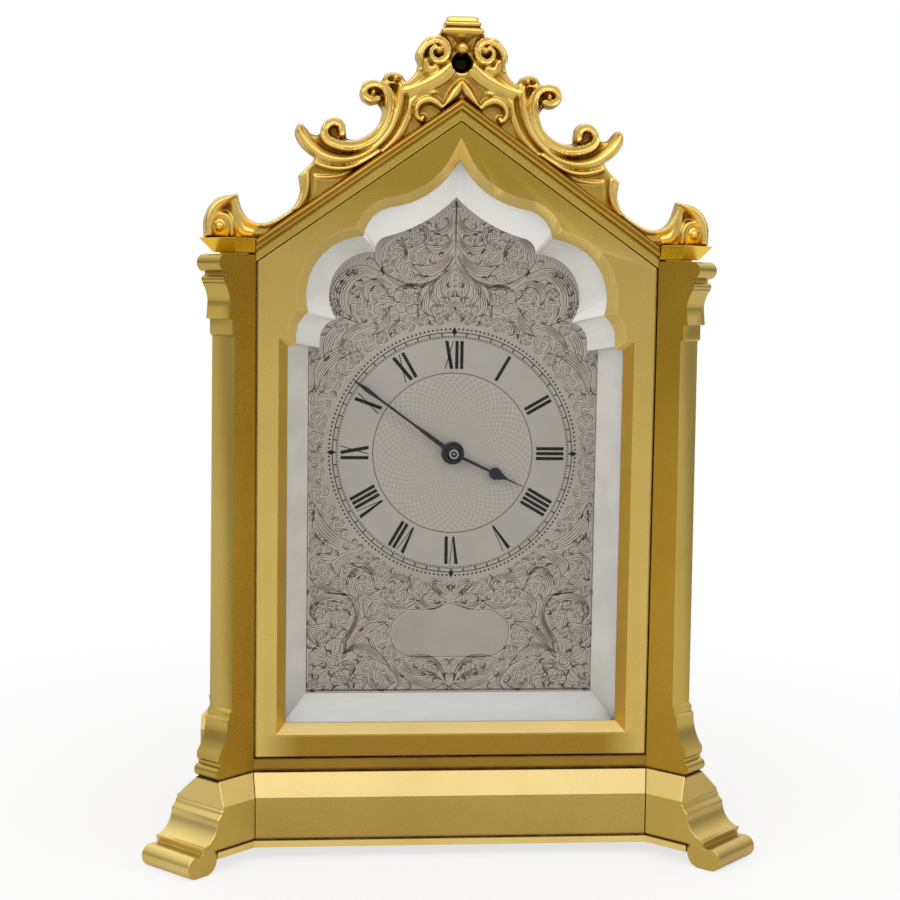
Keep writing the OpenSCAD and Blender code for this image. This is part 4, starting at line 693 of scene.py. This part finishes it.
# Dial: silvered plate with an engine-turned centre, chapter ring and engraved ground
def dial_material():
    m, nt, b = new_material("silvered_dial", 0.55, 0.5)

    def do(op, *values):
        return calc(nt, op, *values)

    at = node(nt, "SeparateXYZ", place(nt)).outputs
    x = do("MULTIPLY", at["X"], 1000.0)
    z = do("SUBTRACT", do("MULTIPLY", at["Z"], 1000.0), DIAL_Z)
    r = do("SQRT", do("ADD", do("MULTIPLY", x, x), do("MULTIPLY", z, z)))
    turn = do("ARCTAN2", x, z)
    # Engine turning: rings of small scales 1 mm apart, each ring moved round by half a scale
    odd = do("MULTIPLY", do("FLOORED_MODULO", do("FLOOR", r), 2.0), pi)
    scale = do("SINE", do("ADD", do("ADD", do("MULTIPLY", turn, 66.0), odd), do("MULTIPLY", r, 0.35)))
    weave = do("MULTIPLY", do("ADD", do("MULTIPLY", scale, 0.75), do("SUBTRACT", do("FRACT", r), 0.5)), 0.5)
    fine = noise(nt, 3500, 2.0)
    cloud = noise(nt, 60, 5.0)
    inner = do("LESS_THAN", r, CENTRE_R)
    ring = do("MULTIPLY", do("GREATER_THAN", r, CENTRE_R), do("LESS_THAN", r, CHAPTER_R))
    ground = ramp(nt, cloud, [(0.3, (0.32, 0.30, 0.255)), (0.7, (0.38, 0.355, 0.305))])
    plain = ramp(nt, cloud, [(0.3, (0.34, 0.325, 0.285)), (0.7, (0.385, 0.365, 0.325))])
    turned = mix(nt, spread(nt, weave, 0.0, 1.0, -0.5, 0.5), (0.32, 0.293, 0.25), (0.415, 0.385, 0.338))
    col = mix(nt, inner, mix(nt, ring, ground, plain), turned)
    col = mix(nt, spread(nt, fine, 0.0, 0.08, 0.35, 0.7), col, (0.22, 0.20, 0.18))
    paint(nt, b, col, spread(nt, fine, 0.46, 0.54, 0.3, 0.7))
    bump(nt, b, do("MULTIPLY", weave, inner), 0.3, 0.08)
    return m


INK = plain_metal("numeral_black", (0.012, 0.010, 0.010), (0.006, 0.005, 0.005), (0.55, 0.7), 500, metallic=0.0)
ENGRAVED = plain_metal("engraved_line", (0.16, 0.133, 0.107), (0.112, 0.092, 0.073), (0.5, 0.65), 800, metallic=0.0)
# Painted highlight beside each cut
CUT_GLINT = plain_metal("engraved_glint", (0.55, 0.49, 0.44), (0.49, 0.435, 0.39), (0.35, 0.5), 800, metallic=0.5)


def around(at, r, n):
    """n points of a circle."""
    turns = (2 * pi * k / n for k in range(n))
    return [(at[0] + r * cos(t), at[1] + r * sin(t)) for t in turns]


class Strokes:
    """Flat strokes and dots on the dial's face, lifted off it, at x and z."""

    def __init__(self, lift):
        self.v, self.f, self.lift = [], [], lift

    def point(self, q):
        self.v.append((q[0], FRONT + DIAL_FACE - self.lift, q[1]))
        return len(self.v) - 1

    def poly(self, pts):
        self.f.append(tuple(self.point(q) for q in pts))

    def ribbon(self, pts, halves, closed=False):
        """A strip along points, with half its width at each."""
        n = len(pts)
        left, right = [], []
        for i, (q, w) in enumerate(zip(pts, halves)):
            a, c = (pts[i - 1], pts[(i + 1) % n]) if closed else (pts[max(i - 1, 0)], pts[min(i + 1, n - 1)])
            d = Vector((c[0] - a[0], c[1] - a[1]))
            d = d.normalized() if d.length else Vector((1, 0))
            left.append(self.point((q[0] - d.y * w, q[1] + d.x * w)))
            right.append(self.point((q[0] + d.y * w, q[1] - d.x * w)))
        for i in range(n if closed else n - 1):
            j = (i + 1) % n
            self.f.append((left[i], right[i], right[j], left[j]))

    def path(self, pts, w0, w1=None, closed=False):
        w1 = w0 if w1 is None else w1
        n = len(pts)
        self.ribbon(pts, [(w0 + (w1 - w0) * i / (n - 1)) / 2 for i in range(n)], closed)

    def comma(self, pts, width, n=9):
        """Tapered stroke, thickest a third of the way along."""
        swell = [max(0.12, sin(pi * (i / (n - 1)) ** 0.7)) for i in range(n)]
        self.ribbon(resample(pts, n), [width / 2 * s for s in swell])

    def dot(self, at, r, n):
        self.poly(around(at, r, n))

    def circle(self, r, w, n=160):
        self.path(around((0, DIAL_Z), r, n), w, closed=True)

    def mirrored(self):
        n = len(self.v)
        self.v += [(-x, y, z) for x, y, z in self.v]
        self.f += [tuple(n + i for i in reversed(q)) for q in self.f]

    def build(self, name, mat):
        me = mesh_of(name, self.v, self.f)
        bm = bmesh.new()
        bm.from_mesh(me)
        for q in bm.faces:
            q.normal_update()
            if q.normal.y > 0:
                q.normal_flip()
        bm.to_mesh(me)
        bm.free()
        piece(name, me, mat)


def on_ring(minute, r, side=0.0):
    """Point of the dial at a minute mark, r from the centre and moved sideways clockwise."""
    a = radians(6 * minute)
    return (r * sin(a) + side * cos(a), DIAL_Z + r * cos(a) - side * sin(a))


NUMERALS = ("I", "II", "III", "IIII", "V", "VI", "VII", "VIII", "IX", "X", "XI", "XII")
INK_LIFT, CUT_LIFT, GLINT_LIFT = 0.04, 0.03, 0.02


def numerals():
    ink = Strokes(INK_LIFT)
    low, high = 25.8, 34.35
    bar, gap, wide, hair = 1.02, 0.5, 2.7, 0.24
    thick = bar * 1.08
    for hour, word in enumerate(NUMERALS, 1):
        widths = [bar if c == "I" else wide for c in word]
        s = -(sum(widths) + gap * (len(word) - 1)) / 2
        for c, w in zip(word, widths):
            foot = w / 2 + bar * 0.42
            shapes = {
                "I": [[(0, low), (w, low), (w, high), (0, high)]],
                "V": [[(0, high), (thick, high), (foot, low), (w / 2 - bar * 0.1, low)],
                      [(w - hair, high), (w, high), (foot, low), (foot - hair, low)]],
                "X": [[(0, high), (thick, high), (w, low), (w - thick, low)],
                      [(w - hair * 1.2, high), (w, high), (hair * 1.2, low), (0, low)]],
            }[c]
            for shape in shapes:
                ink.poly([on_ring(5 * hour, t, s + q) for q, t in shape])
            s += w + gap
    ink.build("numerals", INK)


def ring_lines():
    """Minute track with a row of dots on each side, diamonds at the quarters, and rings around the centre."""
    track_in, track_out = 35.7, 36.85
    g = Strokes(CUT_LIFT)
    for r, w in ((24.55, 0.2), (track_out, 0.26), (track_in, 0.14)):
        g.circle(r, w)
    for count, at, r, corners in ((240, 35.3, 0.21, 6), (180, 37.9, 0.32, 7)):
        for k in range(count):
            g.dot(on_ring(60 * k / count, at), r, corners)
    for k in range(60):
        g.path([on_ring(k, track_in), on_ring(k, track_out)], 0.34)
    for k in (0, 15, 30, 45):
        g.poly([on_ring(k, 35.8), on_ring(k, 37.2, 0.8), on_ring(k, 38.6), on_ring(k, 37.2, -0.8)])
    g.circle(3.4, 0.3, 60)
    g.build("chapter_lines", INK)


# Acanthus engraving, right half. A leaf: number of flow lines, then along it x and z of its outer and inner edge
LEAVES = [
    (4, (0.4, 195.5, 0.3, 192.2), (2.4, 191.5, 2, 189.2), (5, 189.5, 4.3, 187.9), (7.8, 189.3, 7.1, 188.1)),
    (4, (0.3, 189.2, 0.3, 186.7), (2.5, 186, 2.8, 183.7), (5.6, 184.8, 6.4, 182.3), (9.4, 185.3, 10.5, 182.6)),
    (5, (0.5, 184.9, 0.8, 181.7), (3.4, 181.2, 3.9, 177.7), (7.5, 179, 8.6, 175.5), (13.1, 179.1, 14.7, 176.9)),
    (3, (2.1, 179.2, 2.7, 177.7), (5.5, 175.2, 5.8, 174.1), (10.6, 173.3, 10.7, 172.2), (16.8, 173.9, 16.8, 172.4),
     (22.8, 177.5, 23.9, 177.2)),
    (4, (0.6, 181.7, 0, 180.2), (2.7, 177.7, 1.3, 176.6), (4.3, 173.7, 2.4, 173.1), (3.9, 170.4, 1.9, 170.7),
     (1.5, 168.6, 0.1, 167)),
    (3, (5.8, 174.7, 4.5, 174.7), (7.8, 171.7, 5.8, 171.7), (7, 168.4, 5.3, 169.1), (4.2, 166.6, 3.5, 168)),
    (3, (7.3, 173.2, 6.6, 172.7), (9.6, 169.2, 7.9, 169.2), (9.7, 165.2, 7.7, 166.1), (6.2, 163.1, 5, 164.7)),
    (5, (15.5, 189.5, 17.3, 187.6), (20.6, 188.8, 20.1, 186.4), (24.3, 184.6, 21.8, 183.5),
     (24.4, 180.1, 21.7, 180.5), (22.3, 177.5, 19.6, 178.5)),
    (3, (8.9, 185.3, 9.9, 185.4), (7.8, 187.3, 9.2, 187.3), (8.8, 190.1, 9.9, 189.1), (11.9, 191.2, 12, 189.9)),
    (3, (14.9, 179.9, 15.6, 180.4), (14.7, 182.9, 15.6, 182.7), (15.5, 185.4, 16.4, 184.5),
     (18.1, 186.5, 18.2, 185.2)),
    (6, (23.4, 177, 23.9, 174.7), (29, 178.6, 28.5, 175.1), (35.2, 175.2, 31.7, 172.1), (37.7, 169.6, 32.3, 168.5),
     (35.5, 164, 30.8, 165.5), (29.3, 161.1, 26.7, 162.9)),
    (4, (19.3, 172.6, 20.4, 171.6), (23.4, 174.7, 23.4, 173), (27.3, 173.3, 25.5, 171.7), (27.9, 169.5, 25.6, 169.9),
     (26.1, 167.4, 23.9, 168.8)),
    (4, (20.5, 166.1, 21.6, 165.8), (19.4, 162.2, 21.3, 162.8), (21.1, 159.2, 22.7, 160.7),
     (24.8, 157.7, 25.3, 159.3)),
    (2, (10.1, 172.2, 10.7, 171.5), (12.7, 173.3, 13, 172.2), (15.8, 172.8, 15.5, 171.8), (18.3, 171.4, 17.8, 170.6)),
    (2, (9.1, 173.7, 9.9, 173), (10.7, 169.7, 11.5, 169.7), (10.2, 166.7, 11.3, 166.7), (11.3, 163.7, 12.3, 164.2)),
    (4, (26.2, 161.8, 26.3, 160.3), (30.4, 160.4, 29.4, 158.8), (33.5, 157.8, 31.7, 156.8),
     (34.6, 154.3, 32.6, 153.8)),
    (4, (36.3, 160.4, 35.1, 157.9), (38.7, 157.9, 36.7, 155.8), (39.8, 153.8, 37.5, 152.8),
     (39.4, 149.7, 37.3, 149.2)),
    (3, (16, 162.2, 16.5, 160.9), (18.5, 161.2, 18, 160.2), (20.1, 159.2, 18.9, 158.9), (19.6, 157.7, 18.6, 157.7)),
    (5, (33.9, 59.6, 32.8, 59.6), (33.5, 63.2, 32.2, 62.7), (31.4, 66.4, 30.1, 65.8), (29.4, 71.5, 27.9, 71),
     (31, 76.7, 28.7, 76.7), (34.6, 78.3, 32.6, 79.3)),
    (4, (32.9, 60.6, 31.9, 60.1), (29.4, 65.3, 28.3, 63.7), (24.8, 68.9, 24.2, 66.6), (19.7, 69.4, 19.4, 67.1)),
    (5, (33.4, 59.1, 33.4, 58), (29.9, 62.2, 30.3, 60.4), (25.2, 62.2, 26.2, 60.1), (21.6, 59.5, 23.6, 57.5),
     (18.5, 55.3, 20.5, 54.3)),
    (5, (34.6, 78.3, 33.6, 75.7), (38.7, 78.3, 37.7, 76.2), (42.3, 76.2, 40.5, 74.7), (43.2, 72.1, 41.2, 72.1),
     (41.2, 69, 40.2, 70.3)),
    (3, (38.6, 69, 38.6, 66.9), (43.2, 67.9, 41.4, 66.6), (43.9, 64.8, 42.2, 64.8), (40.6, 61.7, 39.6, 63)),
    (4, (43.3, 83, 40.8, 83.5), (40.7, 79.9, 38.7, 80.9), (37.2, 78.3, 35.6, 79.3), (32.1, 77.8, 31.5, 78.8)),
    (4, (31, 77.8, 29.5, 77.8), (32.1, 81.4, 30, 80.9), (30.6, 85, 28.8, 83.2), (27, 86.6, 26.7, 84.2),
     (23.9, 84, 25.2, 83)),
    (3, (21.8, 79.3, 21.3, 77.2), (24.9, 77.8, 23.8, 76.2), (26.9, 75.2, 25.1, 74.1), (26.3, 71, 24.8, 71)),
    (4, (21.8, 81.4, 21.3, 79.8), (18.8, 84, 18.3, 82.4), (14.7, 84, 15.2, 82.4), (12.1, 81.4, 13.6, 80.9),
     (13.6, 78.8, 14.6, 79.3)),
    (3, (22.4, 81.9, 23.4, 81.9), (23.9, 85.5, 25, 84.5), (27, 87.6, 27.5, 86.1), (31.1, 87.6, 30.6, 86.1)),
    (3, (21.3, 75.7, 20.8, 76.7), (17.6, 73.6, 17.7, 74.9), (13.5, 73.6, 14.1, 74.9), (9.4, 76.2, 10.5, 77.2)),
    (3, (11, 76.7, 10.5, 78), (7.3, 73.6, 7.4, 75.2), (3.7, 74.1, 4.3, 75.4), (1.2, 75.7, 1.7, 77)),
    (3, (1.2, 76.2, 0.9, 77.5), (4.3, 78.3, 3, 78.8), (6.4, 80.9, 4.6, 80.6), (4.4, 82.4, 3.6, 81.4)),
    (4, (15.4, 55.3, 15.9, 57.9), (11.2, 52.7, 11.2, 54.8), (6, 52.6, 6.6, 54.2), (2.4, 51, 2.4, 52.6)),
    (4, (14.4, 57.9, 12.8, 56.9), (10.2, 59, 9.7, 57.5), (5.6, 58.4, 6.1, 56.8), (2.4, 55.2, 3.7, 54.7),
     (1.3, 51, 2.4, 52.1)),
    (3, (14.8, 52.2, 13.3, 52.7), (10.1, 49.5, 9.6, 50.8), (4.9, 48.4, 4.9, 49.9), (1.3, 50, 1.6, 51.3)),
    (3, (25.6, 52.8, 24.1, 52.2), (24.6, 49.1, 23.3, 50.1), (20.4, 48, 20.5, 49.3), (16.9, 50.6, 18.1, 51.1)),
    (3, (19, 55.3, 17.9, 55.9), (16.9, 52.7, 15.3, 52.7), (15.8, 50.1, 14.5, 50.1), (17.3, 48, 15.3, 48)),
    (3, (35.9, 55.4, 35.2, 53.9), (31.9, 57, 31.8, 55.1), (29.3, 55.4, 30.5, 54.1), (30.8, 52.3, 31.8, 52)),
    (3, (36.4, 52.3, 35.9, 50.7), (32.8, 52.3, 32.8, 50.4), (29.7, 50.2, 31.3, 49.4), (30.2, 48.1, 31.8, 48.1)),
    (2, (29.2, 52.3, 28.7, 51.2), (26.7, 52.8, 27.2, 51.5), (25.6, 50.1, 26.6, 49.9), (27.1, 48.1, 27.9, 48.1)),
    (5, (30.5, 152.6, 33.5, 154), (35.5, 149.6, 38.6, 151.6), (39.4, 145.4, 42.4, 147), (42, 140, 44, 141.5)),
    (5, (31, 94, 34, 91.5), (35.6, 96.8, 38.6, 93.6), (39.6, 101.2, 42.4, 98), (42, 106, 44, 104)),
    (4, (27, 90.5, 29.5, 91.8), (30.5, 89, 33.4, 90.2), (33.5, 86.6, 37, 87.4), (34.5, 83.6, 38, 83.6)),
    (3, (36.5, 90, 37.5, 88.4), (40.5, 90.6, 40.2, 88.8), (43.4, 88.2, 41.8, 87), (43.2, 84.4, 41.6, 84.6)),
]
# Middle and radius
ROSETTES = [
    (11.7, 187.6, 2.2), (17.9, 182.6, 2.6), (1.9, 166, 1.8), (23.5, 164.9, 2.6), (33.1, 153.8, 2.1),
    (40.7, 72.9, 2.4), (22, 52.2, 2.4), (4.8, 80.3, 2.3), (15.6, 77.8, 2.2), (6, 54.2, 2.4), (31.1, 85.5, 1.9)
]
FLOWERS = [(14.4, 168.2, 4.3), (36.0, 56.6, 7.4)]
# Hatched runs along the edge of the lobe and the point, and the number of strokes
HATCHED = [
    ([(25.8, 182.6), (29.4, 181.6), (33.6, 178.6), (36.8, 174.4), (38.2, 169.2)], 17),
    ([(2.6, 196.6), (6.6, 192.6), (12.4, 189.9)], 10),
]
# Edge of the engraved ground, right half, and of the plain cartouche in it
GROUND_FOOT = 47.6
GROUND = [
    (-6, GROUND_FOOT), (44.3, GROUND_FOOT), (44.3, 152.6), (41.4, 153.4), (41.6, 158.4), (38.8, 162.6), (39.5, 168.4),
    (38.6, 173.4), (35.4, 178.6), (30.6, 182.4), (25.8, 183.6), (23.4, 187.2), (17.4, 190.2), (11.0, 192.2),
    (6.0, 195.2), (2.4, 198.6), (0, 201.6), (-6, 201.6),
]
CARTOUCHE = [
    (0.0, 75.2), (3.6, 73.9), (8.6, 73.0), (12.6, 73.2), (15.4, 71.6), (17.8, 69.2), (18.3, 66.2), (17.8, 62.6),
    (15.6, 59.9), (12.0, 58.6), (0.0, 58.5)
]
# One side of a petal, along it and across it, in radii of the flower
PETAL = [
    (0.34, 0.08), (0.5, 0.34), (0.66, 0.46), (0.72, 0.38), (0.88, 0.4), (0.93, 0.24), (1.04, 0.18), (1.02, 0.0)
]


def spiral(x, z, r, first, grow, steps, turn):
    """Points of a spiral that grows in radii of its flower, turning by an angle at each step."""
    radii = [(first + grow * i / steps) * r for i in range(steps + 1)]
    return [(x + q * cos(i * turn), z + q * sin(i * turn)) for i, q in enumerate(radii)]


def leaf(g, count, *edges):
    """Engraved leaf: smooth outer edge, tapering flow lines and a lobed inner edge that meet at the tip."""
    n = 24
    a, b = (resample([q[k:k + 2] for q in edges], n) for k in (0, 2))
    for k in range(count + 1):
        line = []
        for i, (p, q) in enumerate(zip(a, b)):
            t = i / (n - 1)
            lobe = 0.16 * abs(sin(pi * t * count)) * min(1, 4 * (1 - t)) if k == count else 0
            line.append(p.lerp(q, (k / count + lobe) * (1 - t ** 5)))
        if k == count:
            g.path(line, 0.24, 0.3)
        elif k == 0:
            g.path(line, 0.26, 0.36)
        else:
            g.comma(line[(k * 3) % 4:n - 2 * (k % 3)], 0.32, 12)


def rosette(g, x, z, r):
    """Small scroll rosette: a spiral eye inside a swirl of petals."""
    g.path(spiral(x, z, r, 0.12, 0.5, 26, 0.42), 0.2, 0.26)
    for k in range(7):
        def at(q, turn):
            t = 2 * pi * k / 7 + turn
            return Vector((x + q * r * cos(t), z + q * r * sin(t)))
        g.comma([at(0.62, 0), at(0.9, 0.25), at(1.12, 0.75)], 0.3)
        g.path(resample([at(1.12, 0.75), at(1.22, 0.35), at(1.0, -0.05)], 7), 0.2)
        g.comma([at(0.7, 0.3), at(0.92, 0.5), at(1.04, 0.8)], 0.2)


def flower(g, x, z, r):
    """Five ruffled petals with veins around a twisted heart."""
    for k in range(5):
        t = radians(98 + 72 * k)
        tip, side = Vector((cos(t), sin(t))), Vector((-sin(t), cos(t)))

        def at(u, v=0.0):
            return Vector((x, z)) + tip * r * u + side * r * v

        for way in (-1, 1):
            g.path([at(u, v * way) for u, v in PETAL], 0.26, 0.24)
            g.comma([at(0.36, 0.06 * way), at(0.56, 0.17 * way), at(0.78, 0.2 * way)], 0.24)
        g.comma([at(0.34), at(0.6), at(0.86)], 0.26)
    g.path(spiral(x, z, r, 0.05, 0.27, 30, 0.5), 0.22, 0.3)


def ornament(g):
    for q in LEAVES:
        leaf(g, *q)
    for q in ROSETTES:
        rosette(g, *q)
    for q in FLOWERS:
        flower(g, *q)
    for run, count in HATCHED:
        line = resample(run, count)
        for p, q in zip(line, line[1:]):
            d = (q - p).normalized()
            into = Vector((d.y, -d.x))
            g.comma([p, p + into * 0.9 + d * 0.3, p + into * 1.5 + d * 0.8], 0.24, 4)
    # Midrib below the point, the edge of the cartouche, and painted shadow lines along the foot and up the side of the
    # plate
    g.comma([(0.0, 198.4), (0.1, 190.0), (0.0, 181.0)], 0.34, 12)
    for k in range(7):
        g.comma([(0.05, 178.0 - 1.6 * k), (0.35, 177.4 - 1.6 * k), (0.1, 176.9 - 1.6 * k)], 0.4, 4)
    g.path(resample(CARTOUCHE, 60), 0.24)
    # Painted shadow along the foot of the plate and up its side
    g.path([(0, 48.0), (44.2, 48.0)], 0.6)
    g.path([(44.15, 48.0), (44.15, 152.6)], 0.24)


# Strokes of a small curl and of one leaf of a large one: width, number of points, then radius and angle
ROLLED_LEAF = [
    (0.32, 16, (1.0, -1.0), (1.0, 0.3), (0.9, 1.5), (0.55, 2.6), (0.2, 3.6)),
    (0.26, 12, (1.0, -1.0), (0.6, -0.1), (0.5, 1.2), (0.3, 2.4)),
    (0.22, 12, (0.92, -0.7), (0.8, 0.3), (0.7, 1.3), (0.46, 2.4)),
    (0.28, 8, (0.2, 0.0), (0.55, -1.4), (1.0, -2.2)),
    (0.26, 8, (0.25, 2.6), (0.7, -2.6), (1.0, -2.9)),
]
SWIRLED_LEAF = [
    (0.34, 14, (0.34, 0.0), (0.66, 0.1), (0.98, 0.5), (1.06, 1.15), (0.9, 1.6)),
    (0.28, 12, (0.4, 0.5), (0.6, 0.75), (0.74, 1.15), (0.9, 1.6)),
    (0.22, 10, (0.46, 0.3), (0.74, 0.5), (0.88, 0.95), (0.88, 1.4)),
]
LARGE_CURL = 1.7


def sprig(g, x, z, r, turn, way):
    """Acanthus curl in a round place: one leaf rolled to its tip, or four of them swirling around an eye."""
    def at(q, t):
        return Vector((x + q * r * cos(turn + way * t), z + q * r * sin(turn + way * t)))

    def draw(strokes, start):
        for width, n, *line in strokes:
            g.comma([at(q, start + t) for q, t in line], width, n)

    if r < LARGE_CURL:
        draw(ROLLED_LEAF, 0.0)
        return
    g.path([at(0.06 + 0.26 * i / 20, 0.45 * i) for i in range(21)], 0.2, 0.26)
    for k in range(4):
        draw(SWIRLED_LEAF, 0.5 * pi * k)


def filled(g):
    """Curls in every place that the leaves leave open, the widest place first."""
    step, reach = 0.4, 14
    smallest, widest, most = 0.95, 3.1, 420
    x, z = np.meshgrid(np.arange(0, 44.4, step), np.arange(GROUND_FOOT, 202, step), indexing="ij")
    room = depth_inside(x, z, GROUND) - 0.1
    room = np.minimum(room, np.hypot(x, z - DIAL_Z) - 39.4)
    plain = [(-6, CARTOUCHE[-1][1]), (-6, CARTOUCHE[0][1])] + CARTOUCHE
    room = np.minimum(room, -0.3 - depth_inside(x, z, plain))
    for px, _, pz in g.v[::2]:
        i, j = int(px / step), int((pz - GROUND_FOOT) / step)
        part = (slice(max(i - reach, 0), i + reach + 1), slice(max(j - reach, 0), j + reach + 1))
        room[part] = np.minimum(room[part], np.hypot(x[part] - px, z[part] - pz) + 0.1)
    room = np.where(x < 0.5, np.minimum(room, 0.6), np.minimum(room, x + 0.2))
    for k in range(most):
        i, j = np.unravel_index(np.argmax(room), room.shape)
        r = min(float(room[i, j]), widest)
        if r < smallest:
            break
        sprig(g, x[i, j], z[i, j], r, 0.9 * k + 0.07 * z[i, j], 1 if k % 2 else -1)
        room = np.minimum(room, np.hypot(x - x[i, j], z - z[i, j]) - 0.93 * r)


def engraved_ground():
    """Dark cuts, each with a painted highlight a little below and to the right of it."""
    cut, glint, shift = Strokes(CUT_LIFT), Strokes(GLINT_LIFT), 0.2
    ornament(cut)
    filled(cut)
    cut.mirrored()
    # The painted highlights: the cuts moved down and to the right
    glint.v = [(x + shift, y + (CUT_LIFT - GLINT_LIFT), z - shift) for x, y, z in cut.v]
    glint.f = cut.f
    glint.build("engraved_glints", CUT_GLINT)
    cut.build("engraved_scrolls", ENGRAVED)


DARK_STEEL = (0.012, 0.012, 0.015)


def turned_steel(name, outside):
    """Turned steel around the hand arbor: bright tip, dark groove, bright ring and dark rim, then what is outside."""
    m, nt, b = new_material(name, 0.85, 0.34)
    flat = node(nt, "VectorMath", place(nt), (1, 0, 1), (0, 0, -DIAL_Z * MM), operation="MULTIPLY_ADD")
    length = node(nt, "VectorMath", flat.outputs[0], operation="LENGTH")
    r = spread(nt, length.outputs["Value"], 0.0, 1.0, 0.0, 2.6 * MM)
    pale = (0.36, 0.35, 0.33)
    col = ramp(nt, r, [
        (0.0, (0.3, 0.29, 0.27)), (0.13, (0.2, 0.2, 0.19)), (0.2, DARK_STEEL), (0.34, DARK_STEEL), (0.4, pale),
        (0.52, pale), (0.58, DARK_STEEL), (0.96, DARK_STEEL), (1.0, outside)])
    paint(nt, b, col, spread(nt, noise(nt, 900, 2.0), 0.3, 0.42))
    return m


HUB = {"hand_collet": DARK_STEEL, "cannon_pinion": (0.3, 0.3, 0.3), "centre_wheel": (0.75, 0.57, 0.24)}
for name, outside in HUB.items():
    refinish(name, turned_steel("turned_" + name, outside))
dressed("dial_plate", dial_material(), "silvered_dial", bevel=0.05)
numerals()
ring_lines()
engraved_ground()


# Camera: angles in degrees, and metres to the left, away from the front frame's face and up from the table
YAW, PITCH, ROLL, LENS = 5.31, 5.19, 0.86, 68.18
LEFT, AWAY, HIGH = 0.0490, 0.5057, 0.1700


def place_camera():
    yaw, pitch, roll = (radians(a) for a in (YAW, PITCH, ROLL))
    flat = Vector((sin(yaw), cos(yaw), 0))
    right = Vector((cos(yaw), -sin(yaw), 0))
    view = flat * cos(pitch) - Vector((0, 0, sin(pitch)))
    up = flat * sin(pitch) + Vector((0, 0, cos(pitch)))
    cam = bpy.data.cameras.new("camera")
    cam.sensor_fit = "HORIZONTAL"
    cam.sensor_width = 36.0
    cam.lens = LENS
    cam.clip_start, cam.clip_end = 0.01, 50
    ob = put("camera", cam)
    across = right * cos(roll) + up * sin(roll)
    upright = up * cos(roll) - right * sin(roll)
    m = Matrix((across, upright, -view)).transposed().to_4x4()
    m.translation = Vector((-LEFT, FRONT * MM - AWAY, HIGH))
    ob.matrix_world = m
    scene.camera = ob


place_camera()


# Studio: name, place and power of the lamps, in metres and watts
LAMPS = (
    ("key_left", (-0.75, -0.75, 0.85), 4.0),
    ("key_right", (0.85, -0.6, 0.6), 2.2),
    ("top", (0.0, -0.75, 0.95), 3.6),
)
LAMP_SIZE, LAMP_AIM = 0.9, (0, 0, 0.12)
SOFT_LIGHT, REFLECTION, FLOOR_RADIUS = 0.62, 0.5, 3.0


def sky():
    """White ground for the camera, soft light on the object, and graded reflections."""
    scene.world = bpy.data.worlds.new("studio")
    scene.world.use_nodes = True
    nt = scene.world.node_tree
    nt.nodes.clear()
    ray = nt.nodes.new("ShaderNodeLightPath").outputs
    white = node(nt, "Background", (1, 1, 1, 1), 1.0)
    soft = node(nt, "Background", (1, 1, 1, 1), SOFT_LIGHT)
    way = node(nt, "SeparateXYZ", nt.nodes.new("ShaderNodeTexCoord").outputs["Generated"]).outputs
    # Reflections are brighter ahead, behind and above, quieter to the sides
    level = REFLECTION
    for axis, lo, hi, gain in (("Y", -0.2, -0.85, 0.22), ("Y", 0.2, 0.7, 0.5), ("Z", 0.12, 0.7, 0.75)):
        level = calc(nt, "ADD", level, spread(nt, way[axis], 0.0, gain, lo, hi, interpolation_type="SMOOTHSTEP"))
    gloss = nt.nodes.new("ShaderNodeBackground")
    nt.links.new(level, gloss.inputs["Strength"])
    seen = calc(nt, "MAXIMUM", ray["Is Camera Ray"], ray["Is Transmission Ray"])
    last = blend(nt, seen, blend(nt, ray["Is Glossy Ray"], soft, gloss), white)
    nt.links.new(last.outputs[0], nt.nodes.new("ShaderNodeOutputWorld").inputs["Surface"])


def lamps():
    for name, at, power in LAMPS:
        light = bpy.data.lights.new(name, "AREA")
        light.size = LAMP_SIZE
        light.energy = power
        ob = put(name, light)
        ob.location = at
        ob.rotation_euler = (Vector(LAMP_AIM) - Vector(at)).to_track_quat("-Z", "Y").to_euler()


def pale_floor():
    """Pale floor that fades into the white ground."""
    n = 64
    me = bpy.data.meshes.new("floor")
    me.from_pydata([(*q, 0) for q in around((0, 0), FLOOR_RADIUS, n)], [], [list(range(n))])
    floor = put("floor", me)
    m, nt, b = new_material("pale_floor", 0.0, 0.6)
    tint = ramp(nt, noise(nt, 6, 2.0), [(0.3, (0.86, 0.86, 0.86)), (0.7, (0.89, 0.89, 0.89))])
    nt.links.new(tint, b.inputs["Base Color"])
    ray = nt.nodes.new("ShaderNodeLightPath").outputs
    far = node(nt, "VectorMath", place(nt), operation="LENGTH").outputs["Value"]
    seen = calc(nt, "MULTIPLY", ray["Is Camera Ray"], spread(nt, far, 0.72, 1.0, 0.08, 0.32))
    mirrored = calc(nt, "MULTIPLY", ray["Is Glossy Ray"], spread(nt, far, 0.0, 0.9, 0.16, 0.30))
    white = node(nt, "Emission", (1, 1, 1, 1), 1.0)
    last = blend(nt, calc(nt, "MAXIMUM", seen, mirrored), b, white)
    nt.links.new(last.outputs[0], nt.nodes["Material Output"].inputs["Surface"])
    me.materials.append(m)


sky()
lamps()
pale_floor()
scene.view_settings.view_transform = "Standard"

bpy.context.view_layer.update()
